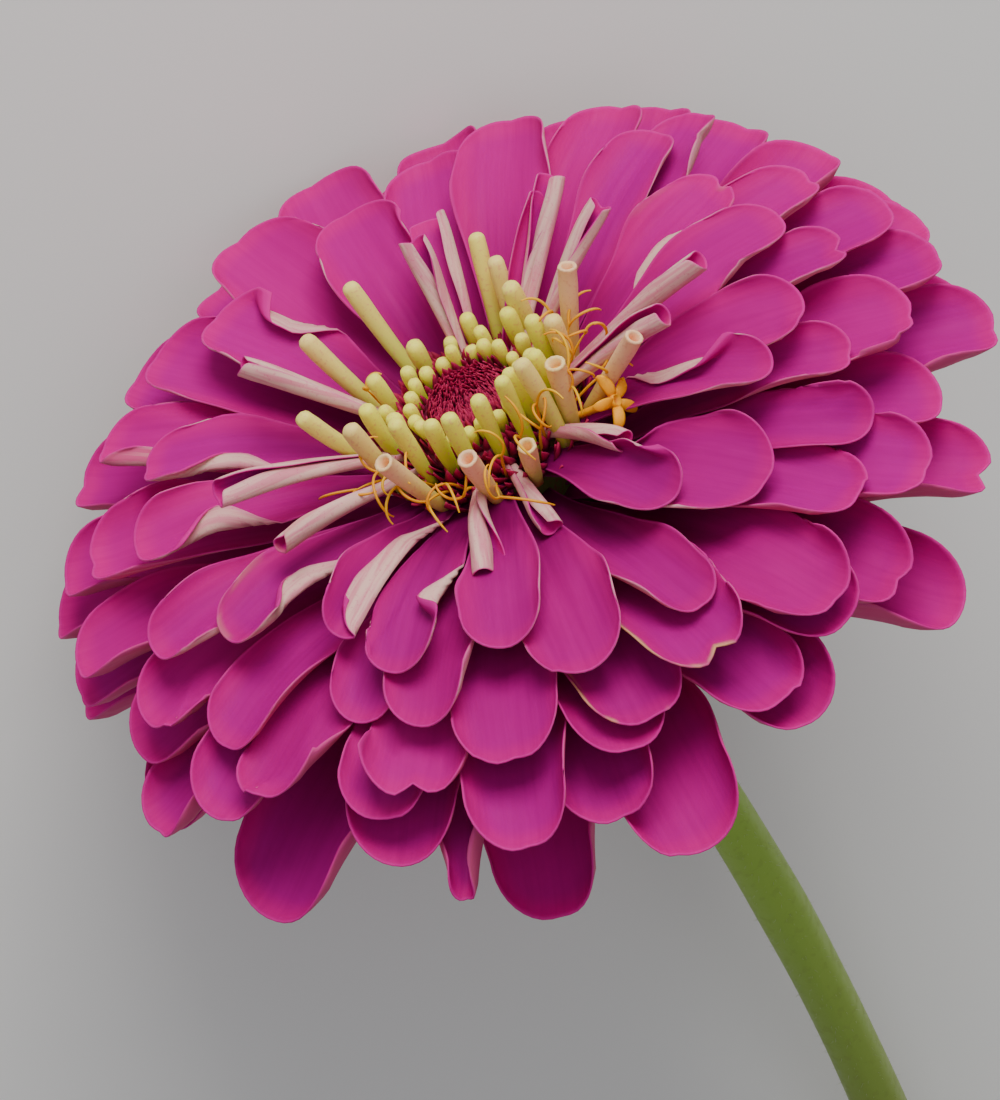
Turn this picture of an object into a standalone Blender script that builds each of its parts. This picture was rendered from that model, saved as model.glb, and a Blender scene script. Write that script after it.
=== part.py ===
"""Zinnia flower, cut with a length of stem and laid on its side.

The bloom is built in its own head frame: +Z is the face axis, and the level Z = 0
is the middle of the disc. The outer florets leave the receptacle at the golden angle
from the one before, each a little higher. The whorls inside them are more irregular,
so they and the rolled florets stand at azimuths of their own.
The head frame then tips over, so that the rim and the cut end of the stem lie on
the ground, which is Z = 0 in the world. All sizes are in metres.
"""
import math
import random

import bmesh
import bpy
from mathutils import Euler, Matrix, Vector

MM = 0.001

# Driving dimensions of the bloom
RIM_RADIUS = 50.7 * MM
INNER_RADIUS = 35.5 * MM
RIM_LEVEL = -28 * MM
INNER_LEVEL = -1.8 * MM
LEVEL_POWER = 0.55
SKIRT_TILT = 2.2 * MM
SKIRT_SHIFT = 2.5 * MM
RIM_WIDTH = 13.4 * MM
INNER_WIDTH = 8.6 * MM
CLAW_WIDTH = 2.8 * MM
PETAL_THICKNESS = 0.5 * MM
PETAL_CUP = 0.7 * MM
LENGTH_SPREAD = 1.2 * MM
AZIMUTH_SPREAD = 1.5

# Centre line of a petal: its slope at the claw and the tip, rim to innermost, and the curve's handles
CLAW_SLOPE = (math.radians(8), math.radians(18))
TIP_SLOPE = (math.radians(-40), math.radians(-12))
CLAW_HANDLE = 0.38
TIP_HANDLE = 0.36

# Outer florets on the golden spiral, counted from the rim inwards, in degrees
GOLDEN_ANGLE = 137.50776
FIRST_AZIMUTH = 342
SEPARATE_FLORETS = 48
PUSHED_ASIDE = {
    0: -3, 3: 3, 5: -3, 8: -4, 10: 4, 15: 6, 16: -4, 18: -6, 24: -6, 26: 5, 29: 5, 34: 4, 35: -6, 36: -4,
    39: -4, 40: 4, 44: -5,
}

# Azimuths of the florets of the two upper whorls, in degrees, the lowest floret first
WHORL_AZIMUTHS = (
    (28, 0, 93, 309, 282, 70, 328, 42, 298, 13, 252, 342, 52, 141, 186, 304, 103, 237, 62, 170, 221, 15),
    (331, 197, 83, 279, 118, 354, 33, 152, 127, 261, 213, 107, 245, 294, 93, 328, 184, 72, 313, 343, 59, 26),
)
WHORLS = len(WHORL_AZIMUTHS)
WHORL_FLORETS = len(WHORL_AZIMUTHS[0])
OPEN_FLORETS = SEPARATE_FLORETS + WHORLS * WHORL_FLORETS
SEED = 7

# Half-open florets and tall buds: azimuth and lean from the face axis in degrees, length in millimetres
ROLLED_FLORETS = (
    (14, 70, 20), (40, 70, 20), (62, 57, 19), (78, 68, 22), (108, 58, 19), (119, 56, 20), (126, 50, 19),
    (243, 52, 21), (265, 66, 23), (297, 63, 22), (342, 70, 20),
)
TALL_BUDS = (
    (9, 57, 16), (92, 38, 13), (137, 32, 13), (156, 49, 16), (171, 47, 15), (202, 46, 13), (222, 52, 14),
    (277, 42, 15), (300, 31, 14), (321, 43, 16), (347, 50, 15),
)
ROLLED_RADII = (0.6 * MM, 1.4 * MM)
ROLLED_FOOT_INSET = 1.0 * MM
NECK_RADIUS = 5.3 * MM
ROLLED_COLLAR_HEIGHT = 2.4 * MM

# Levels and radii on the receptacle
FIRST_BASE_LEVEL = -24 * MM
BASE_PITCH = 0.17 * MM
WHORL_STEP = 1.0 * MM
WHORL_LIFT = 0.7 * MM
RECEPTACLE_RADIUS = 8.2 * MM
CORE_RADIUS = 6.7 * MM
FIT_GAP = 0.3 * MM
COLLAR_OUTER = 8.6 * MM
COLLAR_OVERLAP = 0.4 * MM
COLLAR_MARGIN = 0.36 * MM
HEAD_UNDERSIDE = -30 * MM

# Buds and the disc inside the whorls
BUDS = 30
FIRST_BUD = 114
BUD_LEAN = (math.radians(37), math.radians(6))
BUD_LENGTH = (11 * MM, 5.5 * MM)
BUD_SWELL = 1.5 * MM
BUD_RADII = (0.6 * MM, 0.95 * MM)
TALL_BUD_RADII = (0.7 * MM, 1.2 * MM)
BUD_DOME_RADIUS = 7.6 * MM
BUD_DOME_HEIGHT = 2.4 * MM
BUD_RING = (6.7 * MM, 5.2 * MM)
BUD_SEAT = (0.2, 0.6)
CHAFF_RADIUS = 4.4 * MM
CHAFF_TOP = 0.4 * MM
DISC_FLORET_AZIMUTH = math.radians(51)
DISC_FLORET_LEAN = math.radians(67)
DISC_FLORET_LENGTH = 9 * MM
DISC_FLORET_RADII = (0.7 * MM, 1.6 * MM)
ROD_SIDES = 7

# Involucre: (radius, level above the underside) of its outer and inner faces
BRACT_CUP_OUTSIDE = ((10, 5.1), (9.6, 3), (7.2, 0), (3.4, -1))
BRACT_CUP_INSIDE = ((3.4, -0.3), (5.3, 0.1), (8, 2.8), (8.6, 5.1))
SEAT_PROFILE = ((7.6, 3), (5, 0.5), (0, 0))
SEAT_WALL_FOOT = 5 * MM

# Stem and the way the flower lies
STEM_RADIUS = 3 * MM
STEM_LENGTH = 124 * MM
STEM_BOW = 3.4 * MM
STEM_POINTS = 12
HEAD_TILT = math.radians(17)
HEAD_HEIGHT = 48.4 * MM
HEAD_OFFSET = (67.55 * MM, -0.27 * MM)
PRESS_KNEE = 4 * MM
PRESS_FLOOR = 0.22 * MM

# Finishes: base colour, roughness
FINISHES = {
    "petal_magenta": ((0.52, 0.012, 0.22), 0.55),
    "bud_cream": ((0.62, 0.60, 0.22), 0.55),
    "rolled_cream_pink": ((0.72, 0.42, 0.36), 0.55),
    "chaff_crimson": ((0.30, 0.008, 0.06), 0.7),
    "disc_yellow": ((0.85, 0.42, 0.02), 0.5),
    "stem_green": ((0.16, 0.30, 0.06), 0.5),
}


# ---------------------------------------------------------------- scene helpers

def clear_scene():
    """Remove every object, so that the script starts from nothing."""
    for item in list(bpy.data.objects):
        bpy.data.objects.remove(item, do_unlink=True)


def make_collection(name):
    """Return a new collection in the scene."""
    collection = bpy.data.collections.new(name)
    bpy.context.scene.collection.children.link(collection)
    return collection


def make_material(name):
    """Return the Principled material of a finish."""
    colour, roughness = FINISHES[name]
    material = bpy.data.materials.new(name)
    material.use_nodes = True
    shader = material.node_tree.nodes["Principled BSDF"]
    shader.inputs["Base Color"].default_value = (*colour, 1)
    shader.inputs["Roughness"].default_value = roughness
    shader.inputs["Metallic"].default_value = 0
    material.diffuse_color = (*colour, 1)
    return material


def add_object(name, mesh, collection, parent=None, finish=None):
    """Return a new object in a collection, under a parent, with its own material."""
    item = bpy.data.objects.new(name, mesh)
    collection.objects.link(item)
    item.parent = parent
    if finish:
        mesh.materials.clear()
        mesh.materials.append(make_material(finish))
    return item


def make_guide(item):
    """Mark an object as an operand that is no sub-part of its own."""
    item.hide_render = True
    item.display_type = "WIRE"


def clamp_share(value, low, high):
    """Smooth step of a value from 0 at low to 1 at high."""
    share = min(max((value - low) / (high - low), 0), 1)
    return share * share * (3 - 2 * share)


def mix(pair, share):
    """Value between the first and the last of a pair."""
    return pair[0] + (pair[1] - pair[0]) * share


# ------------------------------------------------------------ lying on the ground

def head_matrix():
    """Head frame in the world: the face axis points along +X and up by the tilt."""
    tilt = Euler((0, math.pi / 2 - HEAD_TILT, 0)).to_matrix().to_4x4()
    turn = Matrix.Rotation(math.pi, 4, "Z")
    return Matrix.Translation((*HEAD_OFFSET, HEAD_HEIGHT)) @ tilt @ turn


def pressed(height):
    """Height of a point once the ground has bent the lowest petals up."""
    knee = PRESS_KNEE - PRESS_FLOOR
    if height > knee:
        return height
    return PRESS_KNEE * math.exp((height - knee) / PRESS_KNEE) - PRESS_FLOOR


def press_on_ground(point):
    """Move a point of the head frame as the ground presses it, and return it."""
    frame = head_matrix()
    world = frame @ point
    world.z = pressed(world.z)
    return frame.inverted() @ world


# ------------------------------------------------------------------ the florets

def floret_azimuth(index):
    """Azimuth of an open floret: on the spiral near the rim, as listed in the whorls."""
    if index < SEPARATE_FLORETS:
        return math.radians(FIRST_AZIMUTH + index * GOLDEN_ANGLE + PUSHED_ASIDE.get(index, 0))
    whorl, place = divmod(index - SEPARATE_FLORETS, WHORL_FLORETS)
    return math.radians(WHORL_AZIMUTHS[whorl][place])


class Floret:
    """One open floret: its place, centre line and width."""

    def __init__(self, index):
        draw = random.Random(SEED * 1000 + index)
        self.share = index / (OPEN_FLORETS - 1)
        self.whorl = max(0, 1 + (index - SEPARATE_FLORETS) // WHORL_FLORETS)
        self.azimuth = floret_azimuth(index) + math.radians(draw.uniform(-AZIMUTH_SPREAD, AZIMUTH_SPREAD))
        level = FIRST_BASE_LEVEL + index * BASE_PITCH + self.whorl * WHORL_STEP
        start = RECEPTACLE_RADIUS + FIT_GAP if self.whorl == 0 else COLLAR_OUTER - COLLAR_OVERLAP
        reach = RIM_RADIUS + (INNER_RADIUS - RIM_RADIUS) * self.share ** 2
        reach += draw.uniform(-LENGTH_SPREAD, LENGTH_SPREAD)
        reach -= SKIRT_SHIFT * (1 - self.share) * math.cos(self.azimuth)
        height = RIM_LEVEL + (INNER_LEVEL - RIM_LEVEL) * self.share ** LEVEL_POWER
        height += self.whorl * WHORL_LIFT - SKIRT_TILT * math.cos(self.azimuth)
        self.half_width = mix((RIM_WIDTH, INNER_WIDTH), self.share) / 2
        self.points = self.bezier((start, level), (reach, height))
        self.length = math.dist(self.points[0], self.points[3])

    def bezier(self, claw, tip):
        """Control points (radius, level) of the centre line."""
        span = math.dist(claw, tip)
        rise, droop = mix(CLAW_SLOPE, self.share), mix(TIP_SLOPE, self.share)
        out, back = CLAW_HANDLE * span, TIP_HANDLE * span
        first = (claw[0] + out * math.cos(rise), claw[1] + out * math.sin(rise))
        second = (tip[0] - back * math.cos(droop), tip[1] - back * math.sin(droop))
        return (claw, first, second, tip)

    def centre(self, along):
        """Point and unit normal of the centre line, as (radius, level) pairs."""
        back = 1 - along
        weights = (back ** 3, 3 * back * back * along, 3 * back * along * along, along ** 3)
        place = [sum(w * p[axis] for w, p in zip(weights, self.points)) for axis in (0, 1)]
        steps = [(b[0] - a[0], b[1] - a[1]) for a, b in zip(self.points, self.points[1:])]
        rates = (back * back, 2 * back * along, along * along)
        run, climb = [sum(w * s[axis] for w, s in zip(rates, steps)) for axis in (0, 1)]
        size = math.hypot(run, climb)
        return place, (-climb / size, run / size)

    def surface(self, along, across):
        """Point of the petal, along from claw to tip and across from -1 to 1."""
        rounding = self.half_width / self.length * (1 - math.sqrt(1 - across * across))
        along -= rounding * along ** 3
        (radius, level), (normal_r, normal_z) = self.centre(along)
        width = CLAW_WIDTH / 2 + (self.half_width - CLAW_WIDTH / 2) * clamp_share(along, 0.02, 0.72)
        cup = PETAL_CUP * across * across * clamp_share(along, 0.05, 0.5)
        radius += normal_r * cup
        azimuth = self.azimuth + width * across / radius
        level += normal_z * cup
        point = Vector((radius * math.cos(azimuth), radius * math.sin(azimuth), level))
        return press_on_ground(point)


def petal_mesh(name, floret, quads_along, quads_across):
    """Open petal surface, from a grid bent over the floret's own surface."""
    shape = bmesh.new()
    bmesh.ops.create_grid(shape, x_segments=quads_along, y_segments=quads_across, size=1)
    for vertex in shape.verts:
        along = (vertex.co.x + 1) / 2
        across = math.sin(vertex.co.y * math.pi / 2)
        vertex.co = floret.surface(along, across)
    mesh = bpy.data.meshes.new(name)
    shape.to_mesh(mesh)
    shape.free()
    return mesh


def add_petal(name, index, collection, parent, quads, finish=None):
    """Petal object with its thickness."""
    floret = Floret(index)
    petal = add_object(name, petal_mesh(name, floret, *quads), collection, parent, finish)
    solid = petal.modifiers.new("thickness", "SOLIDIFY")
    solid.thickness = PETAL_THICKNESS
    solid.offset = 0
    return petal


def turned(name, profile, collection, parent, finish, steps=24):
    """Solid of revolution about the head axis, from (radius, level) points."""
    mesh = bpy.data.meshes.new(name)
    shape = bmesh.new()
    corners = [shape.verts.new((radius, 0, level)) for radius, level in profile]
    for first, second in zip(corners, corners[1:]):
        shape.edges.new((first, second))
    if profile[0][0] > 0:
        shape.edges.new((corners[-1], corners[0]))
    shape.to_mesh(mesh)
    shape.free()
    item = add_object(name, mesh, collection, parent, finish)
    screw = item.modifiers.new("turn", "SCREW")
    screw.steps = steps
    screw.render_steps = steps
    screw.use_merge_vertices = True
    screw.merge_threshold = 0.0001 * MM
    return item


def join_operands(item, operands):
    """Unite an object with every object of a collection."""
    union = item.modifiers.new("join", "BOOLEAN")
    union.operation = "UNION"
    union.operand_type = "COLLECTION"
    union.collection = operands
    union.solver = "EXACT"


# --------------------------------------------------------------- the sub-parts

def collar_bottom(whorl):
    """Level of the lower face of a joined whorl's collar, whorls counted from 1."""
    first = SEPARATE_FLORETS + (whorl - 1) * WHORL_FLORETS
    return FIRST_BASE_LEVEL + first * BASE_PITCH + whorl * WHORL_STEP - COLLAR_MARGIN


def collar_top(whorl):
    """Level of the upper face of a joined whorl's collar."""
    return collar_bottom(whorl) + (WHORL_FLORETS - 1) * BASE_PITCH + 2 * COLLAR_MARGIN


ROLLED_BOTTOM = collar_top(WHORLS) + FIT_GAP
ROLLED_TOP = ROLLED_BOTTOM + ROLLED_COLLAR_HEIGHT
BUD_DOME_BOTTOM = ROLLED_TOP + FIT_GAP
BUD_DOME_TOP = BUD_DOME_BOTTOM + BUD_DOME_HEIGHT


def build_stem(parts):
    """Cut stem, bowed a little, from under the head down to the ground."""
    frame = head_matrix()
    curve = bpy.data.curves.new("stem", "CURVE")
    curve.dimensions = "3D"
    curve.bevel_depth = STEM_RADIUS
    curve.bevel_resolution = 3
    curve.use_fill_caps = True
    spline = curve.splines.new("POLY")
    spline.points.add(STEM_POINTS - 1)
    top = frame @ Vector((0, 0, HEAD_UNDERSIDE - FIT_GAP))
    end = frame @ Vector((0, 0, HEAD_UNDERSIDE - STEM_LENGTH))
    end.z = STEM_RADIUS * math.cos(HEAD_TILT)
    for number, point in enumerate(spline.points):
        share = number / (STEM_POINTS - 1)
        place = top.lerp(end, share)
        place.y -= STEM_BOW * math.sin(math.pi * share)
        point.co = (*place, 1)
    stem = bpy.data.objects.new("stem", curve)
    parts.objects.link(stem)
    curve.materials.append(make_material("stem_green"))


def scaled(profile, level):
    """Profile in metres, from (radius, level) pairs in millimetres above a level."""
    return [(radius * MM, level + height * MM) for radius, height in profile]


def build_receptacle(parts, head):
    """Conical seat of all florets, stepped where the collars slip over it."""
    shoulder = collar_bottom(1) - FIT_GAP
    core_top = ROLLED_BOTTOM - FIT_GAP
    profile = [
        (0, ROLLED_TOP), (NECK_RADIUS, ROLLED_TOP), (NECK_RADIUS, core_top), (CORE_RADIUS, core_top),
        (CORE_RADIUS, shoulder), (RECEPTACLE_RADIUS, shoulder),
        (RECEPTACLE_RADIUS, HEAD_UNDERSIDE + SEAT_WALL_FOOT), *scaled(SEAT_PROFILE, HEAD_UNDERSIDE),
    ]
    turned("receptacle", profile, parts, head, "stem_green")


def build_involucre(parts, head):
    """Cup of green bracts that holds the head from below, open round the stem."""
    profile = scaled(BRACT_CUP_OUTSIDE + BRACT_CUP_INSIDE, HEAD_UNDERSIDE)
    turned("involucre", profile, parts, head, "stem_green")


def build_ray_florets(parts, head):
    """Outer ray florets, each its own sub-part on the receptacle."""
    for index in range(SEPARATE_FLORETS):
        name = f"ray_floret_{index + 1:02d}"
        add_petal(name, index, parts, head, (4, 4), "petal_magenta")


def build_ray_whorls(parts, head):
    """Upper whorls, whose crowded florets are joined on a common collar."""
    for whorl in range(1, WHORLS + 1):
        operands = make_collection(f"whorl_{whorl}_petals")
        first = SEPARATE_FLORETS + (whorl - 1) * WHORL_FLORETS
        for index in range(first, first + WHORL_FLORETS):
            make_guide(add_petal(f"petal_{index + 1}", index, operands, head, (3, 4)))
        low, high = collar_bottom(whorl), collar_top(whorl)
        inner = CORE_RADIUS + FIT_GAP
        profile = [(COLLAR_OUTER, high), (COLLAR_OUTER, low), (inner, low), (inner, high)]
        collar = turned(f"ray_whorl_{whorl}", profile, parts, head, "petal_magenta")
        join_operands(collar, operands)


def add_rod(name, collection, head, foot, azimuth, lean, length, radii, finish=None):
    """Tapered rod that leans from the face axis at an azimuth, from its foot."""
    shape = bmesh.new()
    bmesh.ops.create_cone(
        shape, cap_ends=True, segments=ROD_SIDES, radius1=radii[0], radius2=radii[1], depth=length,
        matrix=Matrix.Translation((0, 0, length / 2)),
    )
    mesh = bpy.data.meshes.new(name)
    shape.to_mesh(mesh)
    shape.free()
    rod = add_object(name, mesh, collection, head, finish)
    radius, level = foot
    rod.location = (radius * math.cos(azimuth), radius * math.sin(azimuth), level)
    rod.rotation_euler = Euler((0, lean, azimuth))
    return rod


def build_rolled_florets(parts, head):
    """Half-open florets, still rolled into tubes, on a collar above the whorls."""
    operands = make_collection("rolled_floret_tubes")
    foot = (COLLAR_OUTER - ROLLED_FOOT_INSET, (ROLLED_BOTTOM + ROLLED_TOP) / 2)
    for azimuth, lean, length in ROLLED_FLORETS:
        make_guide(add_rod(
            f"rolled_{azimuth}", operands, head, foot, math.radians(azimuth), math.radians(lean),
            length * MM, ROLLED_RADII,
        ))
    inner = NECK_RADIUS + FIT_GAP
    low, high = ROLLED_BOTTOM, ROLLED_TOP
    profile = [(COLLAR_OUTER, high), (COLLAR_OUTER, low), (inner, low), (inner, high)]
    collar = turned("rolled_florets", profile, parts, head, "rolled_cream_pink")
    join_operands(collar, operands)


def build_buds(parts, head):
    """Finger-like buds, joined on the dome that surrounds the disc."""
    operands = make_collection("bud_rods")
    rods = [(math.radians(turn), math.radians(lean), size * MM, 0) for turn, lean, size in TALL_BUDS]
    for number in range(BUDS):
        share = number / (BUDS - 1)
        azimuth = math.radians(FIRST_AZIMUTH + (FIRST_BUD + number) * GOLDEN_ANGLE)
        length = mix(BUD_LENGTH, share) + BUD_SWELL * math.sin(math.pi * share)
        rods.append((azimuth, mix(BUD_LEAN, share), length, share))
    for number, (azimuth, lean, length, share) in enumerate(rods):
        foot = (mix(BUD_RING, share), mix((BUD_DOME_BOTTOM, BUD_DOME_TOP), mix(BUD_SEAT, share)))
        radii = TALL_BUD_RADII if number < len(TALL_BUDS) else BUD_RADII
        make_guide(add_rod(f"bud_{number + 1}", operands, head, foot, azimuth, lean, length, radii))
    edge = BUD_DOME_BOTTOM + 1 * MM
    profile = [
        (0, BUD_DOME_TOP), (CHAFF_RADIUS, BUD_DOME_TOP), (BUD_DOME_RADIUS, edge),
        (BUD_DOME_RADIUS, BUD_DOME_BOTTOM), (0, BUD_DOME_BOTTOM),
    ]
    dome = turned("bud_cluster", profile, parts, head, "bud_cream")
    join_operands(dome, operands)


def build_disc(parts, head):
    """Chaffy middle of the disc, and the one disc floret that is in flower."""
    low = BUD_DOME_TOP + FIT_GAP
    profile = [
        (0, CHAFF_TOP), (CHAFF_RADIUS * 0.6, CHAFF_TOP - FIT_GAP), (CHAFF_RADIUS * 0.8, low), (0, low),
    ]
    turned("disc_chaff", profile, parts, head, "chaff_crimson", steps=16)
    foot = (COLLAR_OUTER + FIT_GAP, ROLLED_TOP - 1 * MM)
    add_rod(
        "disc_floret", parts, head, foot, DISC_FLORET_AZIMUTH, DISC_FLORET_LEAN, DISC_FLORET_LENGTH,
        DISC_FLORET_RADII, "disc_yellow",
    )


def build():
    """Build the whole flower."""
    clear_scene()
    parts = make_collection("zinnia_flower")
    head = bpy.data.objects.new("head_frame", None)
    parts.objects.link(head)
    head.matrix_world = head_matrix()
    build_stem(parts)
    build_receptacle(parts, head)
    build_involucre(parts, head)
    build_ray_florets(parts, head)
    build_ray_whorls(parts, head)
    build_rolled_florets(parts, head)
    build_buds(parts, head)
    build_disc(parts, head)


build()
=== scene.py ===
"""Finishes and fine surfaces of a cut zinnia that lies on its side.

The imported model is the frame. Every floret, bud, thread and bract is built here as
a fine surface in the place of its plain solid, in the head frame: +Z is the face
axis of the bloom and level Z = 0 is the middle of its disc. The head frame is then
carried into the world, where the ground is Z = 0. All sizes are in metres.
"""
import logging
import math
import random
from dataclasses import dataclass
from enum import Enum
from typing import ClassVar

import bmesh
import bpy
import numpy as np
from mathutils import Euler, Matrix, Vector


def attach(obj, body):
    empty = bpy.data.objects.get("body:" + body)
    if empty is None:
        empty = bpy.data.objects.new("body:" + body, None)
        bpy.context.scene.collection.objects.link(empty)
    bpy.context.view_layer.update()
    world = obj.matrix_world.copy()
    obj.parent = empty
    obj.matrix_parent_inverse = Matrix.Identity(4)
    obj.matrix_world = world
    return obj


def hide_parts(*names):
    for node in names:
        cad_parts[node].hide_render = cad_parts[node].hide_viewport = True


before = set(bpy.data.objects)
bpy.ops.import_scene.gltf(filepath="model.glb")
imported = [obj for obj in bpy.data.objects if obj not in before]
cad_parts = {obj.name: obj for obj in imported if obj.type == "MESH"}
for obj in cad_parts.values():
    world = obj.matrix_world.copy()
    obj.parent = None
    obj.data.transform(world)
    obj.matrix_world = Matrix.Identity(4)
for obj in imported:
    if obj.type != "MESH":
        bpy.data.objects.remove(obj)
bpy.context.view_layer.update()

MM = 0.001
GOLDEN_ANGLE = 137.50776
ROOT_BODY = "root"
LOG = logging.getLogger("zinnia")

Pair = tuple[float, float]
Triple = tuple[float, float, float]
Colour = Triple
Ramp = tuple[float, float, float, float]


def smooth(value: np.ndarray | float, low: float, high: float) -> np.ndarray:
    """Smooth step of a value or an array, from 0 at low to 1 at high."""
    share = np.clip((np.asarray(value, float) - low) / (high - low), 0, 1)
    return share * share * (3 - 2 * share)


def mix(pair: Pair, share: float) -> float:
    """Value between the first and the last of a pair."""
    return pair[0] + (pair[1] - pair[0]) * share


def unit(vectors: np.ndarray) -> np.ndarray:
    """Vectors scaled to length 1 along the last axis."""
    return vectors / np.maximum(np.linalg.norm(vectors, axis=-1, keepdims=True), 1e-12)


def link(name: str, data: bpy.types.ID) -> bpy.types.Object:
    """Put a new object with some data into the scene.

    Args:
        name: The object's name.
        data: Its mesh, lamp or camera.

    Returns:
        The new object.
    """
    item = bpy.data.objects.new(name, data)
    bpy.context.scene.collection.objects.link(item)
    return item


def store(mesh: bpy.types.Mesh, name: str, values: np.ndarray | list[float]) -> None:
    """Keep one number for each vertex of a mesh under a name."""
    mesh.attributes.new(name, "FLOAT", "POINT").data.foreach_set("value", np.asarray(values, np.float32))


# ---- the head frame

@dataclass(frozen=True)
class HeadFrame:
    """How the head lies: its tilt, its height and how the ground presses it."""

    tilt: float = math.radians(17)
    height: float = 48.4 * MM
    offset: Pair = (67.55 * MM, -0.27 * MM)
    press_knee: float = 4 * MM
    press_floor: float = 0.22 * MM

    def matrix(self) -> Matrix:
        """Head frame in the world.

        Returns:
            The matrix that turns the face axis along +X and up by the tilt.
        """
        tilt = Euler((0, math.pi / 2 - self.tilt, 0)).to_matrix().to_4x4()
        turn = Matrix.Rotation(math.pi, 4, "Z")
        return Matrix.Translation((*self.offset, self.height)) @ tilt @ turn

    def place(self, points: np.ndarray) -> np.ndarray:
        """Carry points of the head frame into the world, pressed by the ground.

        Args:
            points: Array whose last axis is x, y, z in the head frame.

        Returns:
            An array of the same shape, in the world.
        """
        matrix = np.array(self.matrix())
        world = points @ matrix[:3, :3].T + matrix[:3, 3]
        knee = self.press_knee - self.press_floor
        low = np.minimum(world[..., 2], knee)
        bent = self.press_knee * np.exp((low - knee) / self.press_knee) - self.press_floor
        world[..., 2] = np.where(world[..., 2] > knee, world[..., 2], bent)
        return world


HEAD = HeadFrame()


def polar(radius: np.ndarray | float, azimuth: np.ndarray | float, level: np.ndarray | float) -> np.ndarray:
    """Points of the head frame from radius, azimuth and level."""
    places = np.broadcast_arrays(radius * np.cos(azimuth), radius * np.sin(azimuth), level)
    return np.stack(places, axis=-1)


# ---- building meshes

class MeshBundle:
    """Vertices, faces and point attributes of several shells, gathered into one mesh."""

    def __init__(self) -> None:
        """Start with nothing."""
        self.points: list[np.ndarray] = []
        self.faces: list[list[int]] = []
        self.attributes: dict[str, list[np.ndarray]] = {}
        self.count = 0

    def add(self, points: np.ndarray, faces: list[list[int]], attributes: dict[str, np.ndarray]) -> None:
        """Add one shell.

        Args:
            points: Vertices in the world, one row each.
            faces: Faces, as lists of vertex numbers of this shell.
            attributes: One value for each vertex, by attribute name.
        """
        self.points.append(points)
        self.faces.extend([corner + self.count for corner in face] for face in faces)
        for name, values in attributes.items():
            self.attributes.setdefault(name, []).append(np.broadcast_to(values, len(points)))
        self.count += len(points)

    def to_object(self, name: str, finish: bpy.types.Material) -> bpy.types.Object:
        """Make the object, in the world and shaded smooth.

        Args:
            name: The piece's name.
            finish: Its material.

        Returns:
            The new object.
        """
        mesh = bpy.data.meshes.new(name)
        mesh.from_pydata(np.concatenate(self.points).tolist(), [], self.faces)
        for key, values in self.attributes.items():
            store(mesh, key, np.concatenate(values))
        mesh.polygons.foreach_set("use_smooth", [True] * len(mesh.polygons))
        mesh.materials.append(finish)
        mesh.update()
        return link(name, mesh)


def settle(piece: bpy.types.Object, slot: str, nodes: list[str]) -> None:
    """Parent a finished piece to the root body, hide the CAD nodes that it stands for, and log its material
    slot.

    Args:
        piece: The finished piece.
        slot: Name of its material slot, which is only logged.
        nodes: The CAD nodes that it replaces, none for an added detail.
    """
    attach(piece, ROOT_BODY)
    if nodes:
        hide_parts(*nodes)
    LOG.info("%s: %d faces on %s", piece.name, len(piece.data.polygons), slot)


def grid_faces(rows: int, columns: int, closed: bool = False) -> np.ndarray:
    """Quads of a grid of vertices, facing along row x column.

    Args:
        rows: Number of rows.
        columns: Number of columns.
        closed: Whether the last column joins the first again.

    Returns:
        One row of four vertex numbers for each quad.
    """
    row, column = np.meshgrid(np.arange(rows - 1), np.arange(columns - (not closed)), indexing="ij")
    here, ahead, after = row * columns, (row + 1) * columns, (column + 1) % columns
    corners = (here + column, ahead + column, ahead + after, here + after)
    return np.stack([corner.ravel() for corner in corners], axis=1)


def border(rows: int, columns: int) -> np.ndarray:
    """Vertex numbers round the edge of a grid, in the turning sense of its faces.

    Args:
        rows: Number of rows.
        columns: Number of columns.

    Returns:
        The numbers, each once.
    """
    left = np.arange(rows) * columns
    front = (rows - 1) * columns + np.arange(1, columns)
    right = np.arange(rows - 2, -1, -1) * columns + columns - 1
    back = np.arange(columns - 2, 0, -1)
    return np.concatenate([left, front, right, back])


@dataclass
class Tube:
    """Closed round body along a spine, whose ends may turn in on themselves."""

    spine: np.ndarray
    ahead: np.ndarray
    girths: np.ndarray
    sides: int = 12
    lobes: int = 5
    groove: float = 0.05
    flatness: float = 1.0

    STEEP: ClassVar[float] = 0.9

    def shell(self) -> tuple[np.ndarray, list[list[int]], np.ndarray]:
        """Skin of the body, which closes in a point at the first and at the last ring.

        Returns:
            Its vertices, its faces, and the number of the ring that each vertex is on.
        """
        ahead = unit(self.ahead)
        away = np.array([0.0, 0.0, 1.0]) if abs(ahead[0][2]) < self.STEEP else np.array([1.0, 0.0, 0.0])
        across = unit(np.cross(ahead, away))
        upward = np.cross(across, ahead)
        angle = np.arange(self.sides) * 2 * math.pi / self.sides
        wave = 1 - self.groove * (0.5 + 0.5 * np.cos(self.lobes * angle))
        reach = self.girths[:, None, None] * wave[None, :, None]
        ring = across[:, None] * np.cos(angle)[:, None]
        ring = ring + upward[:, None] * np.sin(angle)[:, None] * self.flatness
        body = (self.spine[:, None] + ring * reach).reshape(-1, 3)
        rings = len(self.spine)
        points = np.concatenate([body, self.spine[:1], self.spine[-1:]])
        faces = grid_faces(rings, self.sides, closed=True).tolist()
        start, end = rings * self.sides, rings * self.sides + 1
        last = (rings - 1) * self.sides
        for side in range(self.sides):
            after = (side + 1) % self.sides
            faces.append([start, side, after])
            faces.append([end, last + after, last + side])
        numbers = np.concatenate([np.repeat(np.arange(rings), self.sides), [0, rings - 1]])
        return points, faces, numbers


# ---- geometry nodes

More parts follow.
